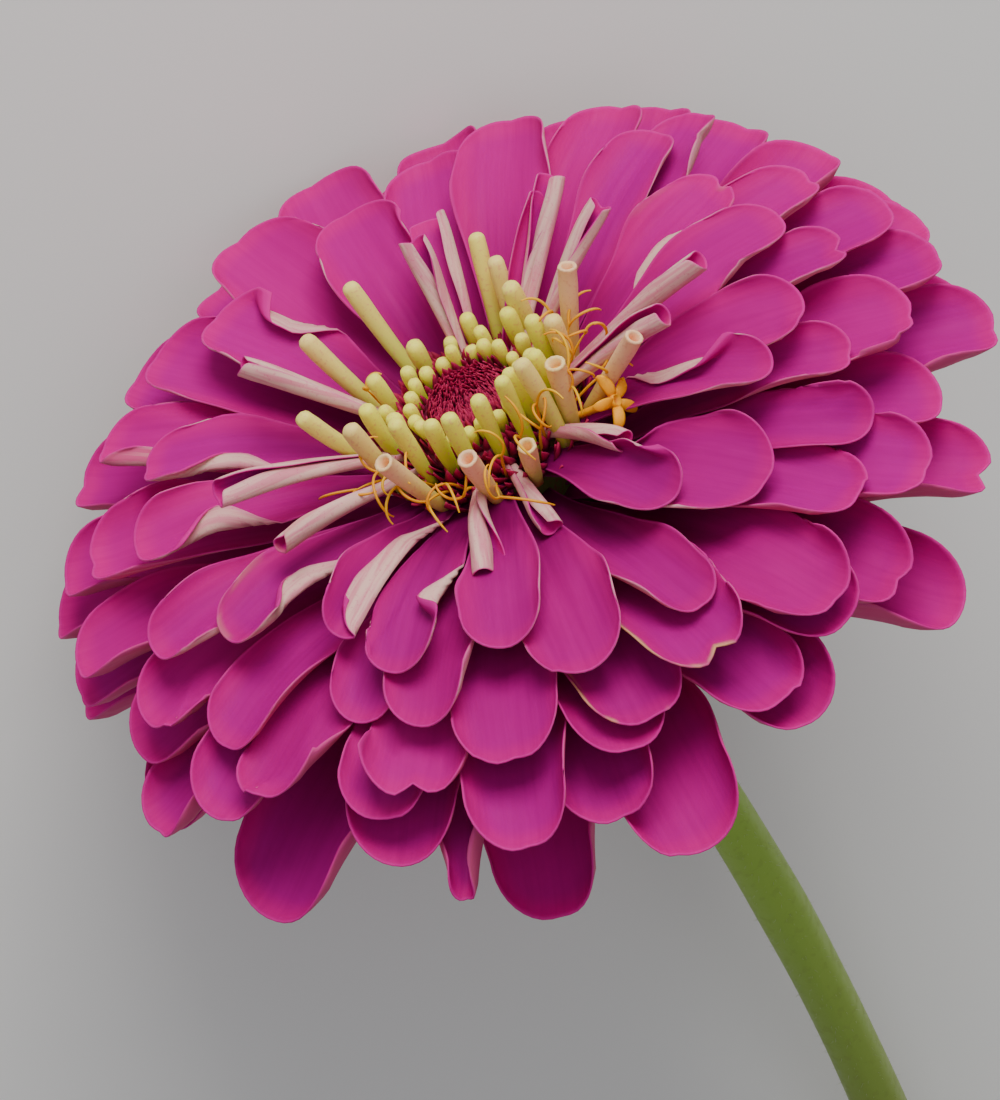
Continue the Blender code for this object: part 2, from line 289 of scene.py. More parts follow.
class GrowthTree:
    """A geometry node tree with named inputs, which ends in plain faces and a material."""

    def __init__(self, name: str, inputs: dict[str, tuple[str, object]]) -> None:
        """Start a tree.

        Args:
            name: The tree's name.
            inputs: Socket type and default value of each input, by name.
        """
        self.tree = bpy.data.node_groups.new(name, "GeometryNodeTree")
        self.tree.interface.new_socket("Geometry", in_out="INPUT", socket_type="NodeSocketGeometry")
        self.tree.interface.new_socket("Geometry", in_out="OUTPUT", socket_type="NodeSocketGeometry")
        for key, (kind, value) in inputs.items():
            socket = self.tree.interface.new_socket(key, in_out="INPUT", socket_type=kind)
            if value is not None:
                socket.default_value = value
        self.tree.interface.new_socket("Finish", in_out="INPUT", socket_type="NodeSocketMaterial")
        self.source = self.tree.nodes.new("NodeGroupInput")

    def add(self, kind: str, inputs: dict | None = None, **settings: object) -> bpy.types.Node:
        """Add a node with its inputs set or linked, and return it."""
        return Shading.add(self, kind, inputs, **settings)

    def given(self, name: str) -> bpy.types.NodeSocket:
        """Socket of one of the tree's own inputs."""
        return self.source.outputs[name]

    def stored(self, name: str, kind: str = "FLOAT") -> bpy.types.NodeSocket:
        """Value that the geometry carries under a name."""
        node = self.add("GeometryNodeInputNamedAttribute", {"Name": name}, data_type=kind)
        return node.outputs["Attribute"]

    def scaled(self, attribute: str, factor: str) -> bpy.types.NodeSocket:
        """Point attribute times one of the tree's own inputs."""
        inputs = {0: self.stored(attribute), 1: self.given(factor)}
        return self.add("ShaderNodeMath", inputs, operation="MULTIPLY").outputs[0]

    def finish(self, geometry: bpy.types.NodeSocket) -> None:
        """End the tree: real geometry, smooth, in the given material.

        Args:
            geometry: Socket of what the tree has made.
        """
        real = self.add("GeometryNodeRealizeInstances", {"Geometry": geometry}).outputs[0]
        even = self.add("GeometryNodeSetShadeSmooth", {"Geometry": real}).outputs[0]
        dressed = self.add("GeometryNodeSetMaterial", {"Geometry": even, "Material": self.given("Finish")})
        result = self.tree.nodes.new("NodeGroupOutput")
        self.tree.links.new(dressed.outputs[0], result.inputs["Geometry"])

    def grow(self, name: str, base: bpy.types.Object, values: dict[str, object]) -> bpy.types.Object:
        """Run the tree on an object and return the result as a plain mesh.

        Args:
            name: The new piece's name.
            base: The object to grow on, which is removed.
            values: The tree's inputs, by name.

        Returns:
            The new object, in the world, with no modifier.
        """
        modifier = base.modifiers.new(self.tree.name, "NODES")
        modifier.node_group = self.tree
        for item in self.tree.interface.items_tree:
            if item.in_out == "INPUT" and item.name in values:
                modifier[item.identifier] = values[item.name]
        shape = base.evaluated_get(bpy.context.evaluated_depsgraph_get())
        mesh = bpy.data.meshes.new_from_object(shape)
        mesh.name = name
        bpy.data.objects.remove(base)
        return link(name, mesh)


def sweep_tree() -> GrowthTree:
    """Tree that turns edges into round threads, as thick as their points say.

    Returns:
        The tree, which reads the point attribute girth.
    """
    tree = GrowthTree("thread_sweep", {
        "Sides": ("NodeSocketInt", 6), "Thickness": ("NodeSocketFloat", 1.0),
    })
    line = tree.add("GeometryNodeMeshToCurve", {"Mesh": tree.given("Geometry")}).outputs[0]
    size = tree.scaled("girth", "Thickness")
    ring = tree.add("GeometryNodeCurvePrimitiveCircle", {"Resolution": tree.given("Sides"), "Radius": 1.0})
    thread = tree.add("GeometryNodeCurveToMesh", {
        "Curve": line, "Profile Curve": ring.outputs[0], "Scale": size, "Fill Caps": True,
    })
    tree.finish(thread.outputs[0])
    return tree


def scatter_tree() -> GrowthTree:
    """Tree that sets one small shape at each point, turned and sized as the point says.

    Returns:
        The tree, which reads the point attributes size and turn.
    """
    tree = GrowthTree("seat_scatter", {
        "Shape": ("NodeSocketObject", None), "Size": ("NodeSocketFloat", 1.0),
    })
    shape = tree.add("GeometryNodeObjectInfo", {"Object": tree.given("Shape"), "As Instance": True})
    turn = tree.add("FunctionNodeEulerToRotation", {0: tree.stored("turn", "FLOAT_VECTOR")}).outputs[0]
    set_out = tree.add("GeometryNodeInstanceOnPoints", {
        "Points": tree.given("Geometry"), "Instance": shape.outputs["Geometry"], "Rotation": turn,
        "Scale": tree.scaled("size", "Size"),
    })
    tree.finish(set_out.outputs[0])
    return tree


def down_tree() -> GrowthTree:
    """Tree that grows short hairs out of a surface.

    Returns:
        The tree, whose density is in hairs for each square metre.
    """
    tree = GrowthTree("fine_down", {
        "Density": ("NodeSocketFloat", 100000.0), "Length": ("NodeSocketFloat", 0.6 * MM),
        "Root Radius": ("NodeSocketFloat", 0.02 * MM), "Seed": ("NodeSocketInt", 7),
    })
    spots = tree.add("GeometryNodeDistributePointsOnFaces", {
        "Mesh": tree.given("Geometry"), "Density": tree.given("Density"), "Seed": tree.given("Seed"),
    })
    hair = tree.add("GeometryNodeMeshCone", {
        "Vertices": 3, "Radius Top": 0.0, "Radius Bottom": tree.given("Root Radius"),
        "Depth": tree.given("Length"),
    }).outputs[0]
    lean = tree.add("FunctionNodeRandomValue", {
        0: (-0.5, -0.5, 0.0), 1: (0.5, 0.5, 3.1), 8: tree.given("Seed"),
    }, data_type="FLOAT_VECTOR").outputs[0]
    turns = {0: spots.outputs["Rotation"], 1: lean}
    tipped = tree.add("FunctionNodeRotateRotation", turns, rotation_space="LOCAL")
    size = tree.add("FunctionNodeRandomValue", {2: 0.5, 3: 1.2, 8: tree.given("Seed")}).outputs[1]
    set_out = tree.add("GeometryNodeInstanceOnPoints", {
        "Points": spots.outputs["Points"], "Instance": hair, "Rotation": tipped.outputs[0], "Scale": size,
    })
    tree.finish(set_out.outputs[0])
    return tree


# ---- the floret shape

@dataclass
class Floret:
    """One ray floret: its centre line, its width and how it curls.

    The centre line runs in the half plane of its azimuth, as a cubic with four
    control points (radius, level). The cross-section is built outwards from the
    midrib by adding up turning angles, so an edge may fold or roll right over.
    Folds and rolls belong to the sides towards smaller and towards larger azimuths.
    The class values are shares of the length from which each feature grows, or its size.
    """

    azimuth: float
    line: np.ndarray
    half_width: float
    claw: float = 1.4 * MM
    cup: float = 0.5 * MM
    tip_cup: float = 1.0 * MM
    rim: float = 0.5 * MM
    folds: Pair = (0.0, 0.0)
    fold_from: float = 0.45
    fold_span: Pair = (0.15, 1.1)
    roll: Pair = (0.0, 0.0)
    flare: float = 0.2
    flatness: float = 1.0
    twist: float = 0.0
    sway: float = 0.0
    ripple: float = 0.25 * MM
    ripple_phase: float = 0.0
    notch: float = 0.4 * MM
    point: float = 0.0
    bow: float = 0.9
    tip_lift: float = 0.0
    tone: float = 0.5
    share: float = 0.5
    age: float = 0.0
    # painted shade and random depth: how far the upper side is darkened towards deep, most on the near side
    # of the bloom
    painted_shade_and_depth: float = 0.0
    wrap: bool = True
    thickness: float = 0.38 * MM
    rows: int = 28
    columns: int = 19

    STEPS: ClassVar[int] = 80
    FOLD_OVER: ClassVar[float] = 0.2
    FOLD_EASE: ClassVar[float] = 0.25
    BLADE: ClassVar[Pair] = (0.04, 0.82)
    TAPER: ClassVar[float] = 0.06
    CUP: ClassVar[Pair] = (0.15, 0.7)
    TIP_CUP: ClassVar[float] = 0.65
    FLARE: ClassVar[float] = 0.55
    TIP_CROWDING: ClassVar[float] = 1.35
    ROUNDNESS: ClassVar[float] = 2.1
    NOTCH_WIDTH: ClassVar[float] = 0.2
    NOTCH_FROM: ClassVar[float] = 0.88
    RELIEF: ClassVar[Pair] = (0.1, 0.45)
    RIM: ClassVar[Pair] = (0.55, 0.85)
    RIM_REACH: ClassVar[float] = 1.5 * MM
    GROOVE: ClassVar[float] = 0.16 * MM
    GROOVE_WIDTH: ClassVar[float] = 0.9 * MM
    RIB: ClassVar[float] = 0.05 * MM
    RIB_TURNS: ClassVar[float] = 11
    RIB_END: ClassVar[float] = 0.8
    WAVES: ClassVar[float] = 1.7
    WAVE_OFFSET: ClassVar[float] = 1.4
    RIPPLE: ClassVar[Pair] = (0.35, 0.8)
    TIP_LIFT: ClassVar[float] = 0.55
    TWIST: ClassVar[float] = 0.3
    LEAST_WRAP: ClassVar[float] = 6 * MM
    EDGE_DEPTH: ClassVar[Pair] = (0.55, 0.45)
    EDGE_WIDTH: ClassVar[float] = 1.5
    EDGE_BULGE: ClassVar[float] = 0.8

    def length(self) -> float:
        """Straight length from claw to tip."""
        return float(np.linalg.norm(self.line[3] - self.line[0]))

    def centre(self, along: np.ndarray) -> tuple[np.ndarray, np.ndarray]:
        """Points and upward unit normals of the centre line.

        Args:
            along: Shares of the way from claw to tip.

        Returns:
            Two arrays whose last axis is radius and level.
        """
        back, here = (1 - along)[..., None], along[..., None]
        foot, low, high, tip = self.line
        place = back ** 3 * foot + 3 * back ** 2 * here * low + 3 * back * here ** 2 * high + here ** 3 * tip
        rate = unit(back ** 2 * (low - foot) + 2 * back * here * (high - low) + here ** 2 * (tip - high))
        return place, np.stack([-rate[..., 1], rate[..., 0]], axis=-1)

    def breadth(self, along: np.ndarray) -> np.ndarray:
        """Half width of the flattened floret at a share of its length."""
        blade = self.claw + (self.half_width - self.claw) * smooth(along, *self.BLADE)
        return blade * (1 - (self.TAPER + self.point) * smooth(along, self.BLADE[1], 1))

    def section(self, along: np.ndarray, across: np.ndarray) -> tuple[np.ndarray, np.ndarray]:
        """Cross-section of each row, from turning angles added up from the midrib.

        Args:
            along: Share of the length, rows by columns.
            across: Place across from -1 to 1, rows by columns.

        Returns:
            Sideways and upward distance of each point from the centre line.
        """
        steps = np.linspace(0, 1, self.STEPS + 1)
        middle = along[:, along.shape[1] // 2]
        width = self.breadth(middle)
        start, end = self.fold_span
        closing = smooth(middle, end - self.FOLD_EASE, end)
        opening = smooth(middle, start, start + self.FOLD_EASE) * (1 - closing)
        crease = (1 - (1 - self.fold_from) * opening)[:, None]
        cup = self.cup * smooth(middle, *self.CUP) + self.tip_cup * smooth(middle, self.TIP_CUP, 1)
        slack = 1 - self.flare * smooth(middle, self.FLARE, 1)
        side, lift = np.zeros_like(along), np.zeros_like(along)
        for hand, fold, roll in ((-1, self.folds[0], self.roll[0]), (1, self.folds[1], self.roll[1])):
            bend = smooth(steps[None] - crease, 0, self.FOLD_OVER)
            angle = (2 * cup / width + roll * slack)[:, None] * steps + fold * bend
            middle_angle = (angle[:, 1:] + angle[:, :-1]) / 2
            run = np.pad(np.cumsum(np.cos(middle_angle), axis=1), ((0, 0), (1, 0))) / self.STEPS
            rise = np.pad(np.cumsum(np.sin(middle_angle), axis=1), ((0, 0), (1, 0))) / self.STEPS
            for row, mask in enumerate(across * hand >= 0):
                amount = np.abs(across[row][mask])
                side[row][mask] = hand * width[row] * np.interp(amount, steps, run[row])
                lift[row][mask] = width[row] * np.interp(amount, steps, rise[row])
        return side, lift

    def surface(self) -> dict[str, np.ndarray]:
        """Middle surface of the floret in the head frame.

        Returns:
            Its points and their data by name, rows by columns. The data in millimetres are
            the distance from the midrib and the distance from the edge.
        """
        way = 1 - (1 - np.linspace(0, 1, self.rows)) ** self.TIP_CROWDING
        spread = np.sin(np.linspace(-1, 1, self.columns) * math.pi / 2)
        along, across = np.meshgrid(way, spread, indexing="ij")
        length = self.length()
        rounding = 1 - np.clip(1 - np.abs(across) ** self.ROUNDNESS, 0, 1) ** 0.5
        bow = self.bow * self.half_width / length * rounding
        hollow = np.exp(-((across / self.NOTCH_WIDTH) ** 2))
        dent = self.notch / length * hollow * smooth(along, self.NOTCH_FROM, 1)
        reach = along - bow * along ** 3 - dent
        place, normal = self.centre(reach)
        side, lift = self.section(reach, across)
        width = self.breadth(reach)
        margin = np.minimum(width * (1 - np.abs(across)), (1 - along) * length)
        flat = smooth(along, *self.RELIEF)
        lift = lift + self.rim * np.exp(-margin / self.RIM_REACH) * smooth(along, *self.RIM)
        lift = lift - self.GROOVE * np.exp(-((side / self.GROOVE_WIDTH) ** 2)) * flat
        ribs = self.RIB * np.cos(across * self.RIB_TURNS + self.ripple_phase)
        lift = lift + ribs * flat * (1 - smooth(along, self.RIB_END, 1))
        phase = self.ripple_phase + self.WAVE_OFFSET * np.sign(across)
        wave = self.ripple * np.sin(2 * math.pi * self.WAVES * along + phase)
        lift = lift * self.flatness + wave * np.abs(across) ** 3 * smooth(along, *self.RIPPLE)
        lift = lift + self.tip_lift * smooth(along, self.TIP_LIFT, 1) ** 2
        turn = self.twist * smooth(along, self.TWIST, 1)
        side, lift = side * np.cos(turn) - lift * np.sin(turn), side * np.sin(turn) + lift * np.cos(turn)
        radius = place[..., 0] + normal[..., 0] * lift
        level = place[..., 1] + normal[..., 1] * lift
        azimuth = self.azimuth + self.sway * along ** 2
        if self.wrap:
            azimuth = azimuth + side / np.maximum(radius, self.LEAST_WRAP)
            side = np.zeros_like(side)
        points = polar(radius, azimuth, level) + polar(side, azimuth + math.pi / 2, 0.0)
        return {"points": points, "along": along, "lateral": width * across / MM, "margin": margin / MM}

    def add_to(self, bundle: MeshBundle, data: dict[str, np.ndarray] | None = None) -> None:
        """Give the floret its thickness and add it to a bundle, in the world.

        Args:
            bundle: Where it goes.
            data: Its middle surface, if that has been made already.
        """
        data = data or self.surface()
        points = HEAD.place(data["points"])
        step_along, step_across = np.gradient(points, axis=0), np.gradient(points, axis=1)
        normal = unit(np.cross(step_along, step_across))
        thin, gain = self.EDGE_DEPTH
        depth = self.thickness * (thin + gain * smooth(data["margin"], 0, self.EDGE_WIDTH))[..., None] / 2
        outward = np.zeros_like(points)
        outward[0], outward[-1] = -step_along[0], step_along[-1]
        outward[:, 0] -= step_across[:, 0]
        outward[:, -1] += step_across[:, -1]
        edge = border(self.rows, self.columns)
        flat, deep = points.reshape(-1, 3), depth.reshape(-1, 1)
        middle = flat[edge] + unit(outward.reshape(-1, 3)[edge]) * deep[edge] * self.EDGE_BULGE
        count, around = len(flat), len(edge)
        top = grid_faces(self.rows, self.columns)
        bottom = top[:, ::-1] + count
        after = np.roll(np.arange(around), -1)
        rim = 2 * count + np.arange(around)
        upper_rim = np.stack([edge[after], edge, rim, rim[after]], axis=1)
        lower_rim = np.stack([rim[after], rim, edge + count, edge[after] + count], axis=1)
        attributes = {}
        for key in ("along", "lateral", "margin"):
            value = data[key].ravel()
            attributes[key] = np.concatenate([value, value, value[edge]])
        attributes["upper"] = np.concatenate([np.ones(count), np.zeros(count), np.ones(around)])
        for key in ("tone", "share", "age", "painted_shade_and_depth"):
            attributes[key] = np.full(2 * count + around, getattr(self, key))
        offset = normal.reshape(-1, 3) * deep
        shell = np.concatenate([flat + offset, flat - offset, middle])
        bundle.add(shell, np.concatenate([top, bottom, upper_rim, lower_rim]).tolist(), attributes)


class Canopy:
    """Lower limit of the florets laid so far, under which the next ones must tuck in."""

    REACH: ClassVar[float] = 62 * MM
    CELL: ClassVar[float] = 0.5 * MM
    GAP: ClassVar[float] = 0.42 * MM
    DEEPEST: ClassVar[float] = 4 * MM
    OPEN_SKY: ClassVar[float] = 1.0
    ROUNDS: ClassVar[int] = 5
    PULL_ALONG: ClassVar[float] = 0.76
    PULL_ACROSS: ClassVar[float] = 0.86
    REFINING: ClassVar[tuple[tuple[int, int], ...]] = ((0, 5), (1, 3))

    def __init__(self) -> None:
        """Start with an open sky."""
        count = int(2 * self.REACH / self.CELL)
        self.levels = np.full((count, count), self.OPEN_SKY)

    def cells(self, points: np.ndarray) -> tuple[np.ndarray, np.ndarray]:
        """Cells under some points of the head frame.

        Args:
            points: Array whose last axis is x, y, z.

        Returns:
            Their rows and their columns.
        """
        place = ((points[..., :2] + self.REACH) / self.CELL).astype(int)
        place = np.clip(place, 1, len(self.levels) - 2)
        return place[..., 0], place[..., 1]

    def tuck(self, points: np.ndarray) -> None:
        """Press a floret's surface under the others, then add it to the canopy.

        Args:
            points: Its middle surface in the head frame, changed in place.
        """
        row, column = self.cells(points)
        beside = (-1, 0, 1)
        limit = np.min([self.levels[row + down, column + over] for down in beside for over in beside], axis=0)
        depth = np.maximum(points[..., 2] - limit + self.GAP, 0)
        for _ in range(self.ROUNDS):
            wide = np.pad(depth, 1, mode="edge")
            along = np.maximum(wide[:-2, 1:-1], wide[2:, 1:-1]) * self.PULL_ALONG
            across = np.maximum(wide[1:-1, :-2], wide[1:-1, 2:]) * self.PULL_ACROSS
            depth = np.max([depth, along, across], axis=0)
        points[..., 2] -= np.minimum(depth, self.DEEPEST)
        dense = points
        for axis, steps in self.REFINING:
            share = np.linspace(0, 1, (dense.shape[axis] - 1) * steps + 1) * (dense.shape[axis] - 1)
            low = np.minimum(share.astype(int), dense.shape[axis] - 2)
            part = (share - low).reshape([-1, 1, 1] if axis == 0 else [1, -1, 1])
            dense = np.take(dense, low, axis) * (1 - part) + np.take(dense, low + 1, axis) * part
        row, column = self.cells(dense)
        np.minimum.at(self.levels, (row, column), dense[..., 2])


@dataclass(frozen=True)
class Habit:
    """How one floret departs from its neighbours; lengths in millimetres, angles in degrees."""

    longer: float = 0.0
    wider: float = 1.0
    fold: Pair = (0.0, 0.0)
    fold_from: float = 0.5
    span: Pair = (0.3, 1.1)
    tip_lift: float = 0.0
    rim: float = 0.0
    notch: float = 0.0
    point: float = 0.0
    age: float = 0.0
    twist: float = 0.0


@dataclass(frozen=True)
class Roll:
    """A half-open floret: where it stands and how far each side has rolled in."""

    azimuth: float
    lean: float
    length: float
    half_width: float
    roll: Pair
    twist: float = 0.0
    flatness: float = 0.85
    age: float = 0.0


@dataclass(frozen=True)
class Bloom:
    """Where the florets of the bloom stand, counted from the rim inwards."""

    first_azimuth: float = 342.0
    separate: int = 48
    open_seed: int = 7000
    rolled_seed: int = 14000
    azimuth_spread: float = 1.5
    length_spread: float = 1.2
    rim_spread: Pair = (-0.15, 0.3)
    twist_spread: float = 4
    sway_spread: float = 1.2
    depth_spread: Pair = (-0.1, 0.3)
    rim_radius: float = 50.7 * MM
    inner_radius: float = 35.5 * MM
    rim_level: float = -28 * MM
    inner_level: float = -1.8 * MM
    level_power: float = 0.55
    claw_slope: Pair = (8, 18)
    tip_slope: Pair = (-40, -12)
    claw_handle: float = 0.38
    tip_handle: float = 0.36
    skirt_tilt: float = 2.2 * MM
    skirt_shift: float = 2.5 * MM
    far_shortening: float = 1.2 * MM
    far_straightening: float = 0.6
    rim_width: float = 13.4 * MM
    inner_width: float = 8.6 * MM
    thickness: float = 0.34 * MM
    rolled_thickness: float = 0.32 * MM
    first_base_level: float = -24 * MM
    base_pitch: float = 0.17 * MM
    whorl_step: float = 1.0 * MM
    whorl_lift: float = 0.7 * MM
    receptacle_radius: float = 8.2 * MM
    core_radius: float = 6.7 * MM
    fit_gap: float = 0.3 * MM
    collar_radius: float = 8.6 * MM
    collar_margin: float = 0.36 * MM
    rolled_collar_height: float = 2.4 * MM
    rolled_foot_inset: float = 2.0 * MM
    rolled_arch: float = 0.7 * MM
    rolled_claw: float = 1.7 * MM
    rolled_handles: Pair = (0.35, 0.7)
    rolled_sway: float = 3
    rolled_ripple: float = 0.12 * MM
    rolled_bow: float = 0.25

    CUPS: ClassVar[Pair] = (1.3, 0.7)
    TIP_CUPS: ClassVar[Pair] = (0.6, 1.1)
    LEAST_TIP_CUP: ClassVar[float] = 0.6
    RIMS: ClassVar[Pair] = (0.7, 1.4)
    RIPPLES: ClassVar[Pair] = (0.2, 0.6)
    NOTCHES: ClassVar[Pair] = (0.1, 0.25)
    ROLLED_NOTCHES: ClassVar[Pair] = (0.2, 0.9)
    # painted shade on the near side of the bloom: power of the nearness, the most, and how much less the
    # outer florets get
    PAINTED_SHADE: ClassVar[Triple] = (1.5, 0.95, 0.8)
    COLUMNS: ClassVar[tuple[int, int]] = (21, 31)
    PUSHED_ASIDE: ClassVar[dict[int, float]] = {
        0: -3, 3: 3, 5: -3, 8: -4, 10: 4, 15: 6, 16: -4, 18: -6, 24: -6, 26: 5, 29: 5, 34: 4, 35: -6, 36: -4,
        39: -4, 40: 4, 44: -5,
    }
    WHORLS: ClassVar[tuple[tuple[float, ...], ...]] = (
        (28, 0, 93, 309, 282, 70, 328, 42, 298, 13, 257, 342, 52, 141, 186, 317, 103, 237, 65, 170, 221, 14),
        (
            331, 197, 83, 282, 121, 358, 33, 152, 127, 261, 213, 107, 245, 294, 93, 325, 184, 72, 313, 348,
            59, 26,
        ),
    )
    OUTER_HABITS: ClassVar[dict[int, Habit]] = {
        0: Habit(longer=-2, rim=0.4),
        3: Habit(longer=1.0, rim=0.5, tip_lift=1.0),
        5: Habit(longer=2.7, wider=1.2, rim=0.3),
        8: Habit(longer=2.5, rim=0.5, tip_lift=0.8, wider=1.1),
        11: Habit(longer=0.5, notch=1.2, rim=0.2, wider=0.9),
        13: Habit(longer=2.5, wider=0.62, point=0.3),
        16: Habit(longer=1.0, rim=0.5, tip_lift=0.8),
        18: Habit(longer=1.5, wider=0.9, rim=0.3),
        19: Habit(longer=2.5),
        21: Habit(rim=0.5, tip_lift=0.6),
        24: Habit(rim=0.4, notch=0.8),
        26: Habit(longer=0.8, rim=0.2, wider=1.1),
        29: Habit(rim=0.5, tip_lift=0.7),
        32: Habit(longer=-2.0),
        34: Habit(longer=3.5, rim=0.5, wider=1.05),
        37: Habit(rim=0.3, wider=1.05),
        39: Habit(longer=2.5),
        40: Habit(longer=1.5),
        42: Habit(rim=0.4, tip_lift=0.6),
        45: Habit(longer=2.0),
    }
    WHORL_HABITS: ClassVar[tuple[dict[float, Habit], ...]] = (
        {
            0: Habit(longer=-1.0, wider=1.1, rim=0.4, age=0.9),
            13: Habit(longer=1.5, rim=0.5, tip_lift=0.8, age=1.0, wider=1.15, notch=0.9),
            28: Habit(longer=3.0, rim=0.3, wider=1.1),
            42: Habit(rim=0.3, wider=1.1),
            52: Habit(twist=28, wider=0.8),
            65: Habit(longer=-3.0, wider=0.85, twist=12),
            70: Habit(rim=0.2, wider=1.1),
            170: Habit(longer=-3.0, wider=1.15),
            186: Habit(longer=2.5, wider=1.2),
            298: Habit(wider=0.95),
            317: Habit(longer=-4.0, wider=0.9),
            14: Habit(longer=-3.0, wider=0.85, rim=0.2),
            309: Habit(longer=1.0, rim=0.3, wider=1.05),
            328: Habit(longer=1.5, rim=0.2, notch=0.9, wider=1.15),
            342: Habit(longer=1.0, rim=0.3, wider=1.2),
            221: Habit(wider=1.15),
            237: Habit(fold=(0, 150), fold_from=0.62, span=(0.6, 1.2)),
            257: Habit(wider=1.1, rim=0.2),
        },
        {
            331: Habit(longer=-2.0, wider=1.1, rim=0.3),
            197: Habit(wider=1.3, rim=0.2),
            83: Habit(notch=1.0, rim=0.2, wider=0.9),
            282: Habit(wider=0.85, fold=(0, 60), fold_from=0.7),
            358: Habit(longer=-0.5, wider=1.2, rim=0.3),
            33: Habit(longer=-4.0, wider=1.4, rim=-0.3, fold=(0, 150), fold_from=0.62, span=(0.12, 0.62)),
            152: Habit(longer=-1.0, wider=1.2),
            121: Habit(longer=2.5),
            127: Habit(longer=-1.5, wider=0.9),
            261: Habit(longer=-0.5, fold=(0, 158), fold_from=0.40, span=(0.5, 1.02)),
            213: Habit(longer=-4.5, wider=1.2, fold=(150, 0), fold_from=0.5, span=(0.5, 1.1)),
            107: Habit(longer=-3.0, fold=(160, 0), fold_from=0.36, span=(0.35, 1.0), age=0.2),
            245: Habit(longer=-1.5, fold=(0, 158), fold_from=0.45, span=(0.45, 1.0)),
            294: Habit(longer=-2.0, fold=(0, 152), fold_from=0.38, span=(0.45, 1.02), age=0.3),
            93: Habit(longer=-1.2, wider=1.15),
            325: Habit(longer=-3.0, fold=(0, 160), fold_from=0.46, span=(0.48, 1.0), wider=1.1),
            184: Habit(longer=-4.5, wider=1.25, fold=(78, 0), fold_from=0.7, span=(0.25, 1.1)),
            72: Habit(longer=-1.5, rim=0.1, wider=1.05),
            313: Habit(longer=-5.0, wider=0.95, fold=(30, 165), fold_from=0.2, span=(0.2, 1.2), twist=-15),
            348: Habit(longer=-2.0, wider=1.05, rim=0.2, point=-0.05),
            59: Habit(longer=-3.5, wider=0.9, fold=(0, 155), fold_from=0.35, span=(0.3, 1.0)),
            26: Habit(longer=-5.5, wider=1.0, fold=(0, 85), fold_from=0.55, rim=0.2, twist=14),
        },
    )
    ROLLS: ClassVar[tuple[Roll, ...]] = (
        Roll(38, 79, 14, 3.4, (160, 235), 10, 0.9, 0.3), Roll(3, 92, 12.5, 3.0, (160, 235), 20, 0.9),
        Roll(66, 61, 20, 3.4, (250, 170), 10, 1.0, 0.3), Roll(80, 68, 23, 4.2, (150, 235), -20),
        Roll(112, 55, 20, 3.6, (150, 235), 15, 0.8), Roll(126, 57, 21, 3.4, (230, 150), 0),
        Roll(131, 55, 19, 2.7, (170, 90), 40), Roll(162, 57, 18, 3.6, (160, 80), -20),
        Roll(169, 38, 16, 3.8, (160, 235), 10, 0.9), Roll(240, 53, 20, 4.0, (240, 150), 20, 0.8),
        Roll(271, 65, 23, 4.2, (170, 240), -15, 0.7), Roll(290, 71, 20.5, 3.8, (240, 160), 25, 0.8, 0.3),
        Roll(340, 82, 18, 4.2, (250, 160), -80, 0.9),
    )

    @property
    def whorl_florets(self) -> int:
        """Number of florets in one upper whorl."""
        return len(self.WHORLS[0])

    @property
    def open_florets(self) -> int:
        """Number of open ray florets."""
        return self.separate + len(self.WHORLS) * self.whorl_florets

    @property
    def rolled_bottom(self) -> float:
        """Level of the underside of the rolled florets' collar."""
        last_foot = self.first_base_level + (self.open_florets - 1) * self.base_pitch
        return last_foot + len(self.WHORLS) * self.whorl_step + self.collar_margin + self.fit_gap

    def seat(self, index: int) -> tuple[float, Habit]:
        """Where an open floret stands and how it grows.

        Args:
            index: Its number, from the rim inwards.

        Returns:
            Its azimuth in degrees, and its habit.
        """
        if index < self.separate:
            azimuth = self.first_azimuth + index * GOLDEN_ANGLE + self.PUSHED_ASIDE.get(index, 0)
            return azimuth, self.OUTER_HABITS.get(index, Habit())
        whorl, place = divmod(index - self.separate, self.whorl_florets)
        azimuth = self.WHORLS[whorl][place]
        return azimuth, self.WHORL_HABITS[whorl].get(azimuth, Habit())

    def open_floret(self, index: int) -> Floret:
        """An open or folded ray floret, with its own small departures from the rule.

        Args:
            index: Its number, from the rim inwards.

        Returns:
            The floret.
        """
        draw = random.Random(self.open_seed + index)
        seat, habit = self.seat(index)
        azimuth = math.radians(seat + draw.uniform(-self.azimuth_spread, self.azimuth_spread))
        share = index / (self.open_florets - 1)
        whorl = max(0, 1 + (index - self.separate) // self.whorl_florets)
        level = self.first_base_level + index * self.base_pitch + whorl * self.whorl_step
        start = (self.core_radius if whorl else self.receptacle_radius) - self.fit_gap
        reach = self.rim_radius + (self.inner_radius - self.rim_radius) * share ** 2
        reach += (draw.uniform(-self.length_spread, self.length_spread) + habit.longer) * MM
        reach -= self.skirt_shift * (1 - share) * math.cos(azimuth)
        height = self.rim_level + (self.inner_level - self.rim_level) * share ** self.level_power
        height += whorl * self.whorl_lift - self.skirt_tilt * math.cos(azimuth)
        rise = math.radians(mix(self.claw_slope, share))
        far = 0.5 - 0.5 * math.cos(azimuth)
        reach -= self.far_shortening * far * share
        droop = math.radians(mix(self.tip_slope, share)) * (1 - self.far_straightening * far)
        span = math.hypot(reach - start, height - level)
        near, away = self.claw_handle * span, self.tip_handle * span
        line = np.array([
            (start, level),
            (start + near * math.cos(rise), level + near * math.sin(rise)),
            (reach - away * math.cos(droop), height - away * math.sin(droop)),
            (reach, height),
        ])
        exposed = 1 - share
        # painted shade: florets on the near side, at azimuth near 0, are darkened, the inner ones most; a
        # random deepening is added to it
        power, most, less = self.PAINTED_SHADE
        painted_shade_and_depth = (1 - far) ** power * (most - less * exposed)
